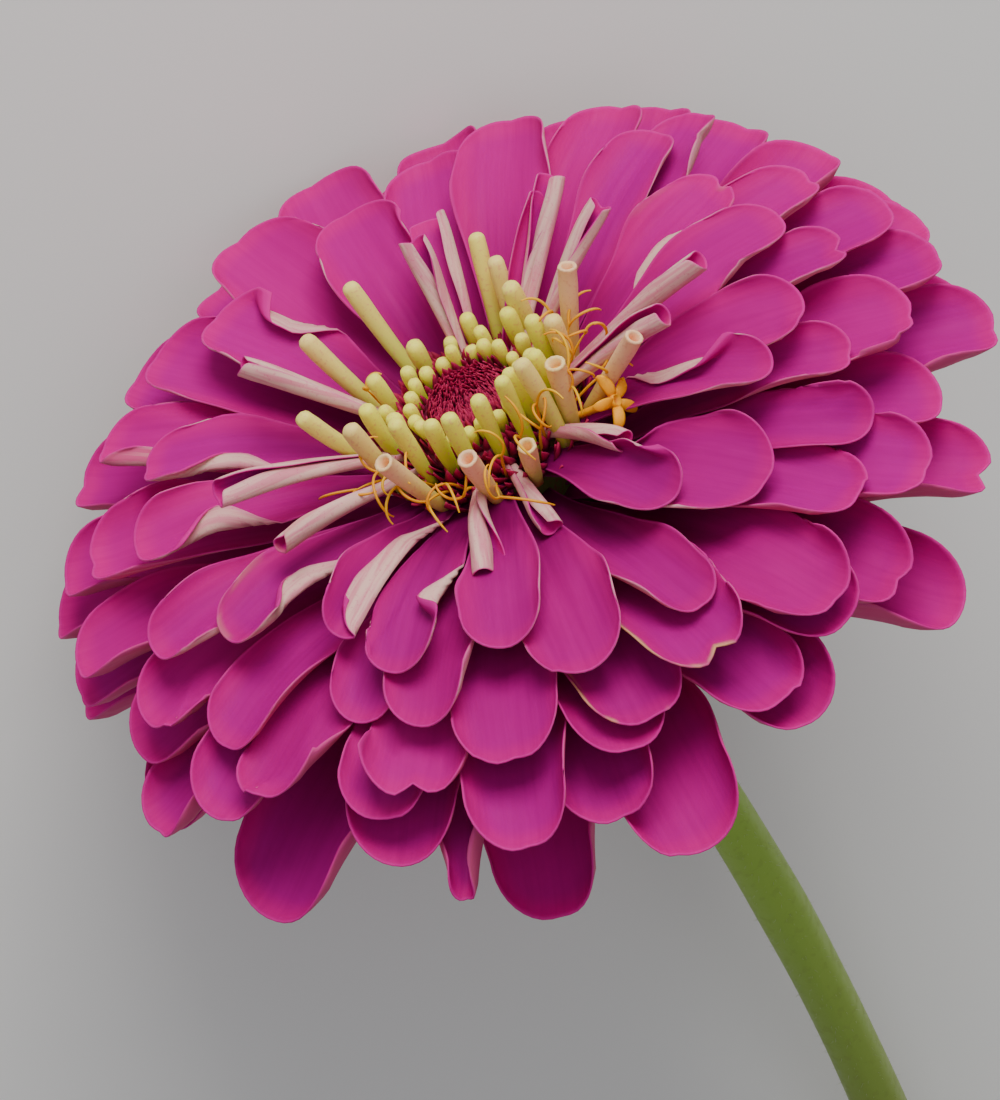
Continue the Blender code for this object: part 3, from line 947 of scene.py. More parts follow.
        return Floret(
            azimuth, line, mix((self.rim_width, self.inner_width), share) / 2 * habit.wider,
            cup=mix(self.CUPS, share) * MM,
            tip_cup=draw.uniform(*self.TIP_CUPS) * (self.LEAST_TIP_CUP + exposed) * MM,
            rim=(mix(self.RIMS, exposed) + habit.rim + draw.uniform(*self.rim_spread)) * MM,
            folds=(math.radians(habit.fold[0]), math.radians(habit.fold[1])), fold_from=habit.fold_from,
            fold_span=habit.span, twist=math.radians(habit.twist + draw.gauss(0, self.twist_spread)),
            sway=math.radians(draw.gauss(0, self.sway_spread)), ripple=draw.uniform(*self.RIPPLES) * MM,
            ripple_phase=draw.uniform(0, 2 * math.pi),
            notch=(habit.notch + max(0, draw.gauss(*self.NOTCHES))) * MM,
            point=habit.point, tip_lift=habit.tip_lift * MM, tone=draw.random(), share=share,
            age=habit.age, painted_shade_and_depth=painted_shade_and_depth + draw.uniform(*self.depth_spread),
            thickness=self.thickness, columns=self.COLUMNS[any(habit.fold)],
        )

    def rolled_floret(self, roll: Roll, number: int) -> Floret:
        """A half-open ray floret, rolled into a tube with its pale underside out.

        Args:
            roll: Where it stands and how it rolls.
            number: Seed of its small departures.

        Returns:
            The floret.
        """
        draw = random.Random(self.rolled_seed + number)
        lean, length = math.radians(roll.lean), roll.length * MM
        collar_middle = self.rolled_bottom + self.rolled_collar_height * 0.5
        foot = np.array([self.collar_radius - self.rolled_foot_inset, collar_middle])
        ahead = np.array([math.sin(lean), math.cos(lean)])
        arch = np.array([-ahead[1], ahead[0]]) * self.rolled_arch
        near, away = self.rolled_handles
        line = np.array([
            foot, foot + ahead * length * near + arch, foot + ahead * length * away + arch,
            foot + ahead * length,
        ])
        return Floret(
            math.radians(roll.azimuth), line, roll.half_width * MM,
            claw=self.rolled_claw, cup=0.0, tip_cup=0.0, rim=0.0,
            roll=(math.radians(roll.roll[0]), math.radians(roll.roll[1])), flatness=roll.flatness,
            twist=math.radians(roll.twist),
            sway=math.radians(draw.uniform(-self.rolled_sway, self.rolled_sway)), ripple=self.rolled_ripple,
            ripple_phase=draw.uniform(0, 6), notch=draw.uniform(*self.ROLLED_NOTCHES) * MM,
            bow=self.rolled_bow, tone=draw.random(), share=1 + draw.random() * 0.5, age=roll.age,
            wrap=False, thickness=self.rolled_thickness, columns=self.COLUMNS[1],
        )


BLOOM = Bloom()


# ---- shader tools

class Shading:
    """Adds nodes to a tree, with their inputs set or linked by name."""

    def __init__(self, tree: bpy.types.NodeTree) -> None:
        """Work on one tree."""
        self.tree = tree

    def add(self, kind: str, inputs: dict | None = None, **settings: object) -> bpy.types.Node:
        """Add a node.

        Args:
            kind: Blender's name of the node type.
            inputs: Values or sockets for its inputs, by name or number.
            **settings: The node's own properties.

        Returns:
            The new node.
        """
        node = self.tree.nodes.new(kind)
        for name, value in settings.items():
            setattr(node, name, value)
        for name, value in (inputs or {}).items():
            if isinstance(value, bpy.types.NodeSocket):
                self.tree.links.new(value, node.inputs[name])
            else:
                node.inputs[name].default_value = value
        return node

    def maths(self, operation: str, first: object, second: object = 0.0) -> bpy.types.NodeSocket:
        """Result of a maths node on two values or sockets."""
        return self.add("ShaderNodeMath", {0: first, 1: second}, operation=operation).outputs[0]

    def blend(self, factor: object, first: object, second: object) -> bpy.types.NodeSocket:
        """Colour between two colours, which may be sockets."""
        inputs = {0: factor, 6: self.colour(first), 7: self.colour(second)}
        return self.add("ShaderNodeMix", inputs, data_type="RGBA").outputs[2]

    @staticmethod
    def colour(value: object) -> object:
        """A socket as it is, or a colour with its alpha."""
        return value if isinstance(value, bpy.types.NodeSocket) else (*value, 1)

    def ramp(
        self, value: object, low: float, high: float, start: float = 0.0, end: float = 1.0
    ) -> bpy.types.NodeSocket:
        """Smooth step of a value between two limits."""
        inputs = {"Value": value, "From Min": low, "From Max": high, "To Min": start, "To Max": end}
        return self.add("ShaderNodeMapRange", inputs, interpolation_type="SMOOTHSTEP").outputs[0]

    def attribute(self, name: str) -> bpy.types.NodeSocket:
        """Value of a point attribute."""
        return self.add("ShaderNodeAttribute", attribute_name=name).outputs["Fac"]

    def noise(self, vector: object, scale: object, detail: float, roughness: float) -> bpy.types.NodeSocket:
        """Value of a noise texture."""
        inputs = {"Vector": vector, "Scale": scale, "Detail": detail, "Roughness": roughness}
        return self.add("ShaderNodeTexNoise", inputs).outputs[0]

    def group(self, tree: bpy.types.NodeTree, inputs: dict) -> bpy.types.Node:
        """Place a shared node group with its inputs."""
        return self.add("ShaderNodeGroup", inputs, node_tree=tree)

    def coat(
        self, shader: bpy.types.Node, colour: object, roughness: object, height: object, bump: Pair,
    ) -> None:
        """Link colour, roughness and relief to a Principled shader.

        Args:
            shader: The shader.
            colour: Socket of its base colour.
            roughness: Socket of its roughness.
            height: Socket of the relief's height.
            bump: Strength of the relief, and its depth in metres.
        """
        relief = self.add("ShaderNodeBump", {"Height": height, "Strength": bump[0], "Distance": bump[1]})
        for key, socket in (("Base Color", colour), ("Roughness", roughness), ("Normal", relief.outputs[0])):
            self.tree.links.new(socket, shader.inputs[key])


class SharedEffects:
    """Node groups that several finishes use, each built once."""

    SEED_STEP: ClassVar[float] = 37.0
    VEIN_PACE: ClassVar[float] = 2.2
    BLOTCH_PACE: ClassVar[Pair] = (0.3, 5.0)

    def __init__(self) -> None:
        """Build the groups."""
        self.grain = self.build_grain()
        self.veins = self.build_veins()

    @staticmethod
    def start(
        name: str, inputs: dict[str, float], outputs: list[str]
    ) -> tuple[Shading, bpy.types.Node, bpy.types.Node]:
        """Make an empty group of plain values.

        Args:
            name: The group's name.
            inputs: Default value of each input, by name.
            outputs: Names of the outputs.

        Returns:
            The tools for its tree, its input node and its output node.
        """
        tree = bpy.data.node_groups.new(name, "ShaderNodeTree")
        for key, value in inputs.items():
            socket = tree.interface.new_socket(key, in_out="INPUT", socket_type="NodeSocketFloat")
            socket.default_value = value
        for key in outputs:
            tree.interface.new_socket(key, in_out="OUTPUT", socket_type="NodeSocketFloat")
        return Shading(tree), tree.nodes.new("NodeGroupInput"), tree.nodes.new("NodeGroupOutput")

    def build_grain(self) -> bpy.types.NodeTree:
        """Cell grain in object space.

        Returns:
            The group, which puts out the grain's height and a mask of scattered flecks.
        """
        inputs = {"Scale": 2500.0, "Threshold": 0.6}
        shading, source, result = self.start("tissue_grain", inputs, ["Height", "Fleck"])
        place = shading.add("ShaderNodeTexCoord").outputs["Object"]
        noise = shading.noise(place, source.outputs["Scale"], 3.0, 0.5)
        fleck = shading.ramp(shading.maths("SUBTRACT", noise, source.outputs["Threshold"]), 0.0, 0.1)
        shading.tree.links.new(noise, result.inputs["Height"])
        shading.tree.links.new(fleck, result.inputs["Fleck"])
        return shading.tree

    def build_veins(self) -> bpy.types.NodeTree:
        """Marks that run along a floret or a bract.

        Returns:
            The group, which puts out fine veins and soft blotches.
        """
        inputs = {"Lateral": 0.0, "Along": 0.0, "Tone": 0.0, "Density": 1.5}
        shading, source, result = self.start("running_veins", inputs, ["Vein", "Blotch"])
        lateral, along = source.outputs["Lateral"], source.outputs["Along"]
        seed = shading.maths("MULTIPLY", source.outputs["Tone"], self.SEED_STEP)
        sideways = shading.maths("MULTIPLY", lateral, source.outputs["Density"])
        forward = shading.maths("MULTIPLY", along, self.VEIN_PACE)
        line = shading.add("ShaderNodeCombineXYZ", {0: sideways, 1: forward, 2: seed}).outputs[0]
        over = shading.maths("MULTIPLY", lateral, self.BLOTCH_PACE[0])
        onward = shading.maths("MULTIPLY", along, self.BLOTCH_PACE[1])
        patch = shading.add("ShaderNodeCombineXYZ", {0: over, 1: onward, 2: seed}).outputs[0]
        shading.tree.links.new(shading.noise(line, 1.0, 4.0, 0.6), result.inputs["Vein"])
        shading.tree.links.new(shading.noise(patch, 0.8, 2.0, 0.5), result.inputs["Blotch"])
        return shading.tree


def new_material(name: str) -> tuple[bpy.types.Material, Shading, bpy.types.Node]:
    """Start a material.

    Args:
        name: Its name.

    Returns:
        The material, the tools for its tree and its Principled shader.
    """
    material = bpy.data.materials.new(name)
    material.use_nodes = True
    return material, Shading(material.node_tree), material.node_tree.nodes["Principled BSDF"]


@dataclass(frozen=True)
class Tissue:
    """How light sinks into living tissue and grazes off its down."""

    subsurface: float = 0.15
    depth: Colour = (1.0, 0.35, 0.5)
    scale: float = 1.0 * MM
    sheen: float = 0.0
    sheen_tint: Colour = (1.0, 1.0, 1.0)
    gloss: float = 0.35

    def dress(self, shader: bpy.types.Node) -> None:
        """Set the constants of a Principled shader.

        Args:
            shader: The shader.
        """
        shader.inputs["Subsurface Weight"].default_value = self.subsurface
        shader.inputs["Subsurface Radius"].default_value = self.depth
        shader.inputs["Subsurface Scale"].default_value = self.scale
        shader.inputs["Sheen Weight"].default_value = self.sheen
        shader.inputs["Sheen Tint"].default_value = (*self.sheen_tint, 1)
        shader.inputs["Specular IOR Level"].default_value = self.gloss


@dataclass(frozen=True)
class PetalFinish:
    """Skin of the ray florets: magenta above, pale below, with a thin pale edge.

    Each ramp gives two limits of what it follows, and the amounts at them.
    """

    name: str = "petal_magenta"
    deep: Colour = (0.21, 0.000, 0.098)
    bright: Colour = (0.50, 0.000, 0.222)
    cool: Colour = (0.45, 0.000, 0.240)
    rose: Colour = (0.62, 0.000, 0.215)
    edge: Colour = (0.70, 0.04, 0.36)
    under: Colour = (0.76, 0.50, 0.42)
    under_blush: Colour = (0.62, 0.08, 0.22)
    aged: Colour = (0.62, 0.34, 0.14)
    cool_by_tone: Ramp = (0.1, 0.9, 0.0, 1.0)
    rose_by_margin: Ramp = (2.6, 0.4, 0.0, 0.8)
    deep_by_vein: Ramp = (0.35, 0.7, 0.0, 0.12)
    # darker towards the claw: partly the floret's own deeper base, partly painted shade under the florets
    # above
    deep_base_and_painted_shade: Ramp = (0.75, 0.2, 0.0, 0.6)
    # painted shade of the near side, with a random deepening: how strongly it pulls towards deep
    deep_by_painted_shade_and_depth: float = 0.42
    pale_by_blotch: Ramp = (0.55, 0.8, 0.0, 0.05)
    blush_by_vein: Ramp = (0.4, 0.62, 0.0, 0.5)
    blush_by_share: Ramp = (0.9, 0.5, 0.12, 0.95)
    blush_by_fleck: float = 0.35
    edge_by_margin: Ramp = (0.22, 0.05, 0.0, 0.32)
    aged_by_margin: Ramp = (0.8, 0.1, 0.0, 1.0)
    aged_by_way: Ramp = (0.7, 0.85, 0.0, 1.0)
    aged_by_blotch: Ramp = (0.46, 0.56, 0.0, 0.8)
    rough_by_vein: Ramp = (0.3, 0.7, 0.50, 0.65)
    vein_density: float = 1.6
    grain: float = 3000.0
    fleck_threshold: float = 0.58
    grain_height: float = 0.35
    bump: Pair = (0.2, 0.10 * MM)
    tissue: Tissue = Tissue(0.10, (1.0, 0.1, 0.4), 1.0 * MM, 0.0, (1.0, 0.2, 0.7), 0.05)

    def face(self, shading: Shading, running: bpy.types.Node) -> bpy.types.NodeSocket:
        """Colour of the upper side.

        Args:
            shading: Tools for the material's tree.
            running: Its veins and blotches.

        Returns:
            The colour.
        """
        vein, margin = running.outputs["Vein"], shading.attribute("margin")
        coolness = shading.ramp(shading.attribute("tone"), *self.cool_by_tone)
        hue = shading.blend(coolness, self.bright, self.cool)
        hue = shading.blend(shading.ramp(margin, *self.rose_by_margin), hue, self.rose)
        # darker towards the claw: partly the floret's own deeper base, partly painted shade under the florets
        # above
        by_way = shading.ramp(shading.attribute("along"), *self.deep_base_and_painted_shade)
        depth = shading.maths("ADD", shading.ramp(vein, *self.deep_by_vein), by_way)
        # painted shade: the near-side florets are darkened towards deep, together with a random deepening of
        # each floret
        by_painted_shade_and_depth = shading.maths("MULTIPLY", shading.attribute("painted_shade_and_depth"), self.deep_by_painted_shade_and_depth)
        face = shading.blend(shading.maths("ADD", depth, by_painted_shade_and_depth), hue, self.deep)
        return shading.blend(shading.ramp(running.outputs["Blotch"], *self.pale_by_blotch), face, self.edge)

    def back(self, shading: Shading, running: bpy.types.Node, grain: bpy.types.Node) -> bpy.types.NodeSocket:
        """Colour of the underside, pale on the inner florets and flushed on the outer ones.

        Args:
            shading: Tools for the material's tree.
            running: Its veins and blotches.
            grain: Its cell grain.

        Returns:
            The colour.
        """
        by_share = shading.ramp(shading.attribute("share"), *self.blush_by_share)
        blush = shading.maths("ADD", shading.ramp(running.outputs["Vein"], *self.blush_by_vein), by_share)
        back = shading.blend(blush, self.under, self.under_blush)
        flecks = shading.maths("MULTIPLY", grain.outputs["Fleck"], self.blush_by_fleck)
        return shading.blend(flecks, back, self.under_blush)

    def wear(self, shading: Shading, running: bpy.types.Node) -> bpy.types.NodeSocket:
        """Mask of the browned tips of the older florets.

        Args:
            shading: Tools for the material's tree.
            running: Its veins and blotches.

        Returns:
            The mask.
        """
        by_margin = shading.ramp(shading.attribute("margin"), *self.aged_by_margin)
        wear = shading.maths("MULTIPLY", shading.attribute("age"), by_margin)
        wear = shading.maths("MULTIPLY", wear, shading.ramp(shading.attribute("along"), *self.aged_by_way))
        by_blotch = shading.ramp(running.outputs["Blotch"], *self.aged_by_blotch)
        return shading.maths("MULTIPLY", wear, by_blotch)

    def material(self, effects: SharedEffects) -> bpy.types.Material:
        """Build the material.

        Args:
            effects: The shared node groups.

        Returns:
            The new material.
        """
        material, shading, shader = new_material(self.name)
        inputs = {key.title(): shading.attribute(key) for key in ("lateral", "along", "tone")}
        running = shading.group(effects.veins, {**inputs, "Density": self.vein_density})
        grain = shading.group(effects.grain, {"Scale": self.grain, "Threshold": self.fleck_threshold})
        face, back = self.face(shading, running), self.back(shading, running, grain)
        skin = shading.blend(shading.attribute("upper"), back, face)
        skin = shading.blend(shading.ramp(shading.attribute("margin"), *self.edge_by_margin), skin, self.edge)
        skin = shading.blend(self.wear(shading, running), skin, self.aged)
        rough = shading.ramp(running.outputs["Vein"], *self.rough_by_vein)
        fine = shading.maths("MULTIPLY", grain.outputs["Height"], self.grain_height)
        height = shading.maths("ADD", running.outputs["Vein"], fine)
        shading.coat(shader, skin, rough, height, self.bump)
        self.tissue.dress(shader)
        return material


@dataclass(frozen=True)
class ShootFinish:
    """Skin of a small shoot, whose colour runs from foot to tip and changes as it ripens."""

    name: str
    foot: Colour
    tip: Colour
    ripe_foot: Colour
    ripe_tip: Colour
    fleck: Colour
    fleck_amount: float = 0.3
    fleck_threshold: float = 0.56
    turn: Pair = (0.15, 0.85)
    turn_by_tone: Ramp = (0.0, 1.0, -0.12, 0.12)
    grain: float = 2500.0
    roughness: float = 0.5
    roughness_spread: float = 0.08
    bump: Pair = (0.35, 0.1 * MM)
    tissue: Tissue = Tissue(0.25)

    def material(self, effects: SharedEffects) -> bpy.types.Material:
        """Build the material.

        Args:
            effects: The shared node groups.

        Returns:
            The new material.
        """
        material, shading, shader = new_material(self.name)
        grain = shading.group(effects.grain, {"Scale": self.grain, "Threshold": self.fleck_threshold})
        by_tone = shading.ramp(shading.attribute("tone"), *self.turn_by_tone)
        way = shading.ramp(shading.maths("ADD", shading.attribute("along"), by_tone), *self.turn)
        young = shading.blend(way, self.foot, self.tip)
        old = shading.blend(way, self.ripe_foot, self.ripe_tip)
        colour = shading.blend(shading.attribute("ripe"), young, old)
        flecks = shading.maths("MULTIPLY", grain.outputs["Fleck"], self.fleck_amount)
        colour = shading.blend(flecks, colour, self.fleck)
        smoothest, roughest = self.roughness - self.roughness_spread, self.roughness + self.roughness_spread
        rough = shading.ramp(grain.outputs["Height"], 0.3, 0.7, smoothest, roughest)
        shading.coat(shader, colour, rough, grain.outputs["Height"], self.bump)
        self.tissue.dress(shader)
        return material


BUD_FINISH = ShootFinish(
    "bud_cream", foot=(0.46, 0.62, 0.02), tip=(0.90, 0.86, 0.10), ripe_foot=(0.86, 0.68, 0.16),
    ripe_tip=(0.95, 0.54, 0.32), fleck=(0.74, 0.28, 0.20), fleck_amount=0.38, turn=(0.1, 0.9),
    tissue=Tissue(0.3, (0.9, 0.7, 0.3), 1.0 * MM),
)
CHAFF_FINISH = ShootFinish(
    "chaff_crimson", foot=(0.11, 0.001, 0.02), tip=(0.38, 0.003, 0.055), ripe_foot=(0.17, 0.002, 0.03),
    ripe_tip=(0.48, 0.01, 0.09), fleck=(0.60, 0.05, 0.14), fleck_amount=0.2, turn=(0.1, 0.9),
    roughness=0.65, tissue=Tissue(0.1),
)
STYLE_FINISH = ShootFinish(
    "style_gold", foot=(0.80, 0.42, 0.0), tip=(0.92, 0.50, 0.0), ripe_foot=(0.74, 0.27, 0.0),
    ripe_tip=(0.82, 0.29, 0.0), fleck=(0.88, 0.52, 0.01), fleck_amount=0.3, grain=6000.0,
    tissue=Tissue(0.15, (1.0, 0.6, 0.2), 0.4 * MM),
)
DISC_FLORET_FINISH = ShootFinish(
    "disc_yellow", foot=(0.82, 0.38, 0.0), tip=(1.0, 0.42, 0.0), ripe_foot=(0.82, 0.34, 0.0),
    ripe_tip=(1.0, 0.36, 0.0), fleck=(0.85, 0.48, 0.005), fleck_amount=0.25, grain=5000.0,
    tissue=Tissue(0.2, (1.0, 0.7, 0.2), 0.5 * MM),
)
STEM_FINISH = ShootFinish(
    "stem_green", foot=(0.20, 0.26, 0.035), tip=(0.34, 0.56, 0.06), ripe_foot=(0.42, 0.50, 0.20),
    ripe_tip=(0.42, 0.50, 0.20), fleck=(0.17, 0.17, 0.04), fleck_amount=0.15, turn=(0.0, 1.0), grain=900.0,
    roughness=0.45, tissue=Tissue(0.08, (0.5, 0.8, 0.2), 1.0 * MM, 0.08, (0.8, 1.0, 0.6), 0.4),
)
DOWN_FINISH = ShootFinish(
    "stem_down", foot=(0.42, 0.50, 0.24), tip=(0.62, 0.68, 0.44), ripe_foot=(0.42, 0.50, 0.24),
    ripe_tip=(0.62, 0.68, 0.44), fleck=(0.7, 0.74, 0.5), grain=4000.0,
)
RECEPTACLE_FINISH = ShootFinish(
    "receptacle_green", foot=(0.12, 0.14, 0.03), tip=(0.16, 0.13, 0.03), ripe_foot=(0.12, 0.14, 0.03),
    ripe_tip=(0.16, 0.13, 0.03), fleck=(0.22, 0.04, 0.04), fleck_amount=0.7, grain=1500.0,
)


@dataclass(frozen=True)
class BractFinish:
    """Skin of the bracts under the head: green, with a dark fringed margin."""

    name: str = "bract_green"
    blade: Colour = (0.10, 0.20, 0.02)
    pale: Colour = (0.24, 0.34, 0.07)
    margin: Colour = (0.035, 0.018, 0.008)
    pale_by_vein: Ramp = (0.4, 0.65, 0.0, 1.0)
    rag_by_vein: Ramp = (0.3, 0.7, -0.35, 0.35)
    dark_by_rag: Ramp = (0.9, 0.35, 0.0, 0.9)
    rough_by_blotch: Ramp = (0.3, 0.7, 0.45, 0.6)
    vein_density: float = 2.5
    bump: Pair = (0.4, 0.12 * MM)
    tissue: Tissue = Tissue(0.08, (0.5, 0.8, 0.2), 0.8 * MM)

    def material(self, effects: SharedEffects) -> bpy.types.Material:
        """Build the material.

        Args:
            effects: The shared node groups.

        Returns:
            The new material.
        """
        material, shading, shader = new_material(self.name)
        inputs = {key.title(): shading.attribute(key) for key in ("lateral", "along", "tone")}
        running = shading.group(effects.veins, {**inputs, "Density": self.vein_density})
        vein, blotch = running.outputs["Vein"], running.outputs["Blotch"]
        blade = shading.blend(shading.ramp(vein, *self.pale_by_vein), self.blade, self.pale)
        rag = shading.maths("ADD", shading.attribute("margin"), shading.ramp(vein, *self.rag_by_vein))
        colour = shading.blend(shading.ramp(rag, *self.dark_by_rag), blade, self.margin)
        shading.coat(shader, colour, shading.ramp(blotch, *self.rough_by_blotch), vein, self.bump)
        self.tissue.dress(shader)
        return material


# ---- sub-assemblies

@dataclass
class RayFlorets:
    """All open and folded ray florets of the bloom."""

    finish: bpy.types.Material

    def build(self) -> None:
        """Build the outer florets one by one, and the inner ones whorl by whorl."""
        canopy = Canopy()
        florets = [BLOOM.open_floret(index) for index in range(BLOOM.open_florets)]
        surfaces = [floret.surface() for floret in florets]
        for surface in reversed(surfaces):
            canopy.tuck(surface["points"])
        groups = {
            (f"ray_petal_{index + 1:02d}", f"ray_floret_{index + 1:02d}"): range(index, index + 1)
            for index in range(BLOOM.separate)
        }
        for whorl in range(len(BLOOM.WHORLS)):
            first = BLOOM.separate + whorl * BLOOM.whorl_florets
            names = f"ray_whorl_petals_{whorl + 1}", f"ray_whorl_{whorl + 1}"
            groups[names] = range(first, first + BLOOM.whorl_florets)
        for (name, node), members in groups.items():
            bundle = MeshBundle()
            for index in members:
                florets[index].add_to(bundle, surfaces[index])
            settle(bundle.to_object(name, self.finish), "petal_magenta", [node])


@dataclass
class RolledFlorets:
    """The ring of half-open florets, rolled with their pale underside out."""

    finish: bpy.types.Material

    def build(self) -> None:
        """Build the ring as one piece."""
        bundle = MeshBundle()
        for number, roll in enumerate(BLOOM.ROLLS):
            BLOOM.rolled_floret(roll, number).add_to(bundle)
        settle(bundle.to_object("rolled_floret_ring", self.finish), "rolled_cream_pink", ["rolled_florets"])


class Bud(Enum):
    """How far a bud has grown; the value is how ripe its colour is."""

    GREEN = 0.0
    CREAM = 0.45
    OPENING = 0.9


@dataclass
class Buds:
    """Finger-like buds round the disc, from short green ones to those about to open.

    Lengths, radii and levels are in millimetres and angles in degrees.
    """

    finish: bpy.types.Material
    sides: int = 12
    crown_radius: float = 4.7
    crown_level: float = -1.0
    crown_slope: float = 0.95
    crown_edge: float = 10
    tall_foot: float = 10.3
    green_buds: int = 20
    green_feet: Pair = (7.6, 8.9)
    green_level: float = 3.2
    green_slope: float = 2.8
    green_rise: float = 1.6
    green_jitter: Pair = (-4, 4)
    green_outward: Pair = (0.2, 1.0)
    green_taller: Pair = (-0.7, 0.7)
    short_buds: int = 21
    short_foot: float = 5.7
    short_outward: float = 0.3
    short_jitter: Pair = (-3, 3)
    short_levels: Pair = (0.0, 1.2)
    short_length: float = 5
    short_girth: float = 0.82
    tip_turns: Pair = (-1.5, 1.5)
    girths: Pair = (0.92, 1.06)
    bends: Pair = (-0.15, 0.35)
    grooves: Pair = (0.04, 0.12)
    flatnesses: Pair = (0.84, 1.0)
    ripeness: Pair = (-0.2, 0.15)

    SEED: ClassVar[int] = 53
    FINGER_SEED: ClassVar[int] = 3000
    TALL: ClassVar[dict[Bud, tuple[Triple, ...]]] = {
        Bud.OPENING: ((95, 20, 14), (59, 42, 15), (315, 20, 13), (347, 20, 11), (11, 25, 9), (48, 10, 11)),
        Bud.CREAM: (
            (225, 25, 14), (198, 25, 14), (150, 30, 13), (140, 20, 11), (262, 25, 13), (285, 10, 12),
            (85, 5, 10), (125, 5, 10), (38, 0, 13),
        ),
    }
    SWELL: ClassVar[dict[Bud, float]] = {Bud.GREEN: 1.0, Bud.CREAM: 1.08, Bud.OPENING: 1.12}
    GIRTH: ClassVar[tuple[Pair, ...]] = (
        (0.0, 0.62), (0.2, 0.72), (0.45, 0.84), (0.7, 0.93), (0.88, 0.98), (1.0, 0.93),
    )
    END_ROUND: ClassVar[tuple[Pair, ...]] = ((0.3, 0.84), (0.52, 0.64), (0.64, 0.38), (0.68, 0.12))
    END_OPEN: ClassVar[tuple[Pair, ...]] = (
        (0.16, 0.98), (0.26, 0.88), (0.27, 0.70), (0.1, 0.56), (-0.5, 0.44), (-1.4, 0.30), (-1.5, 0.1),
    )

    def foot_level(self, radius: float) -> float:
        """Level of a bud's foot on the slope round the disc."""
        return self.crown_level - self.crown_slope * (min(radius, self.crown_edge) - self.crown_radius)

    def stands(self) -> list[tuple[Bud, tuple[float, ...]]]:
        """Kind of every bud, with where its foot and its tip are.

        The tall buds have an azimuth, a lean and a length of their own. The green ones stand
        in two rings, higher towards azimuth 0, and the short ones in one ring at the middle.

        Returns:
            For each bud its kind and its stand: azimuth and radius of its foot, then
            azimuth, radius and level of its tip.
        """
        draw = random.Random(self.SEED)
        places = []
        for kind, tall in self.TALL.items():
            for azimuth, lean, length in tall:
                tip = self.tall_foot + length * math.sin(math.radians(lean))
                level = self.foot_level(self.tall_foot) + length * math.cos(math.radians(lean))
                places.append((kind, (azimuth, self.tall_foot, azimuth, tip, level)))
        for number in range(self.green_buds):
            azimuth = number * 360 / self.green_buds + draw.uniform(*self.green_jitter)
            foot, outer = self.green_feet[number % 2], number % 2
            level = self.green_level + self.green_slope * math.cos(math.radians(azimuth))
            level = level + self.green_rise * outer - self.green_rise / 2
            turn, outward = azimuth + draw.uniform(*self.green_jitter), draw.uniform(*self.green_outward)
            tip = turn, foot + outward, level + draw.uniform(*self.green_taller)
            places.append((Bud.GREEN, (azimuth, foot, *tip)))
        for number in range(self.short_buds):
            azimuth = number * 360 / self.short_buds + draw.uniform(*self.short_jitter)
            tip = azimuth, self.short_foot + self.short_outward, draw.uniform(*self.short_levels)
            places.append((Bud.GREEN, (azimuth, self.short_foot, *tip)))
        return places

    def finger(self, bundle: MeshBundle, kind: Bud, stand: tuple[float, ...], number: int) -> None:
        """Add one bud to a bundle.

        Args:
            bundle: Where it goes.
            kind: How far it has grown.
            stand: Azimuth and radius of its foot, then azimuth, radius and level of its tip.
            number: Seed of its small departures.
        """
        draw = random.Random(self.FINGER_SEED + number)
        foot = polar(stand[1] * MM, math.radians(stand[0]), self.foot_level(stand[1]) * MM)
        tip = polar(stand[3] * MM, math.radians(stand[2] + draw.uniform(*self.tip_turns)), stand[4] * MM)
        length = float(np.linalg.norm(tip - foot))
        straight = (tip - foot) / length
        outward = polar(1.0, math.radians(stand[0]), 0.0)
        outward = unit(outward - straight * (outward @ straight))
        scale = self.SWELL[kind] * draw.uniform(*self.girths) * MM
        if length < self.short_length * MM:
            scale *= self.short_girth
        bend = draw.uniform(*self.bends)
        profile = [(share * length, girth * scale) for share, girth in self.GIRTH]
        ends = self.END_OPEN if kind is Bud.OPENING else self.END_ROUND
        profile += [(length + ahead * scale, girth * scale) for ahead, girth in ends]
        way, girths = np.array(profile).T
        share = np.clip(way / length, 0, 1)[:, None]
        spine = foot + way[:, None] * straight + np.sin(share * math.pi) * bend * length / 8 * outward
        heading = straight + np.cos(share * math.pi) * math.pi * bend / 8 * outward
        tube = Tube(
            HEAD.place(spine), heading @ np.array(HEAD.matrix().to_3x3()).T, girths, self.sides,
            lobes=draw.choice((1, 4, 5)), groove=draw.uniform(*self.grooves),
            flatness=draw.uniform(*self.flatnesses),
        )
        points, faces, rings = tube.shell()
        ripe = min(1.0, max(0.0, kind.value + draw.uniform(*self.ripeness)))
        bundle.add(points, faces, {"along": share[:, 0][rings], "ripe": ripe, "tone": draw.random()})

    def build(self) -> None:
        """Build all buds as one piece."""
        bundle = MeshBundle()
        for number, (kind, stand) in enumerate(self.stands()):
            self.finger(bundle, kind, stand, number)
        settle(bundle.to_object("bud_fingers", self.finish), "bud_cream", ["bud_cluster"])


@dataclass(frozen=True)
class ChaffBed:
    """A part of the disc where scales stand, with pairs for its inner and its outer edge.

    Reach and level are in millimetres, lean and jitter in degrees. The first scale stands
    at a share of the way, and the way is crowded by a power.
    """

    scales: int
    reach: Pair
    level: Pair
    lean: Pair
    jitter: float
    size: Pair
    tones: Pair
    first: float
    power: float


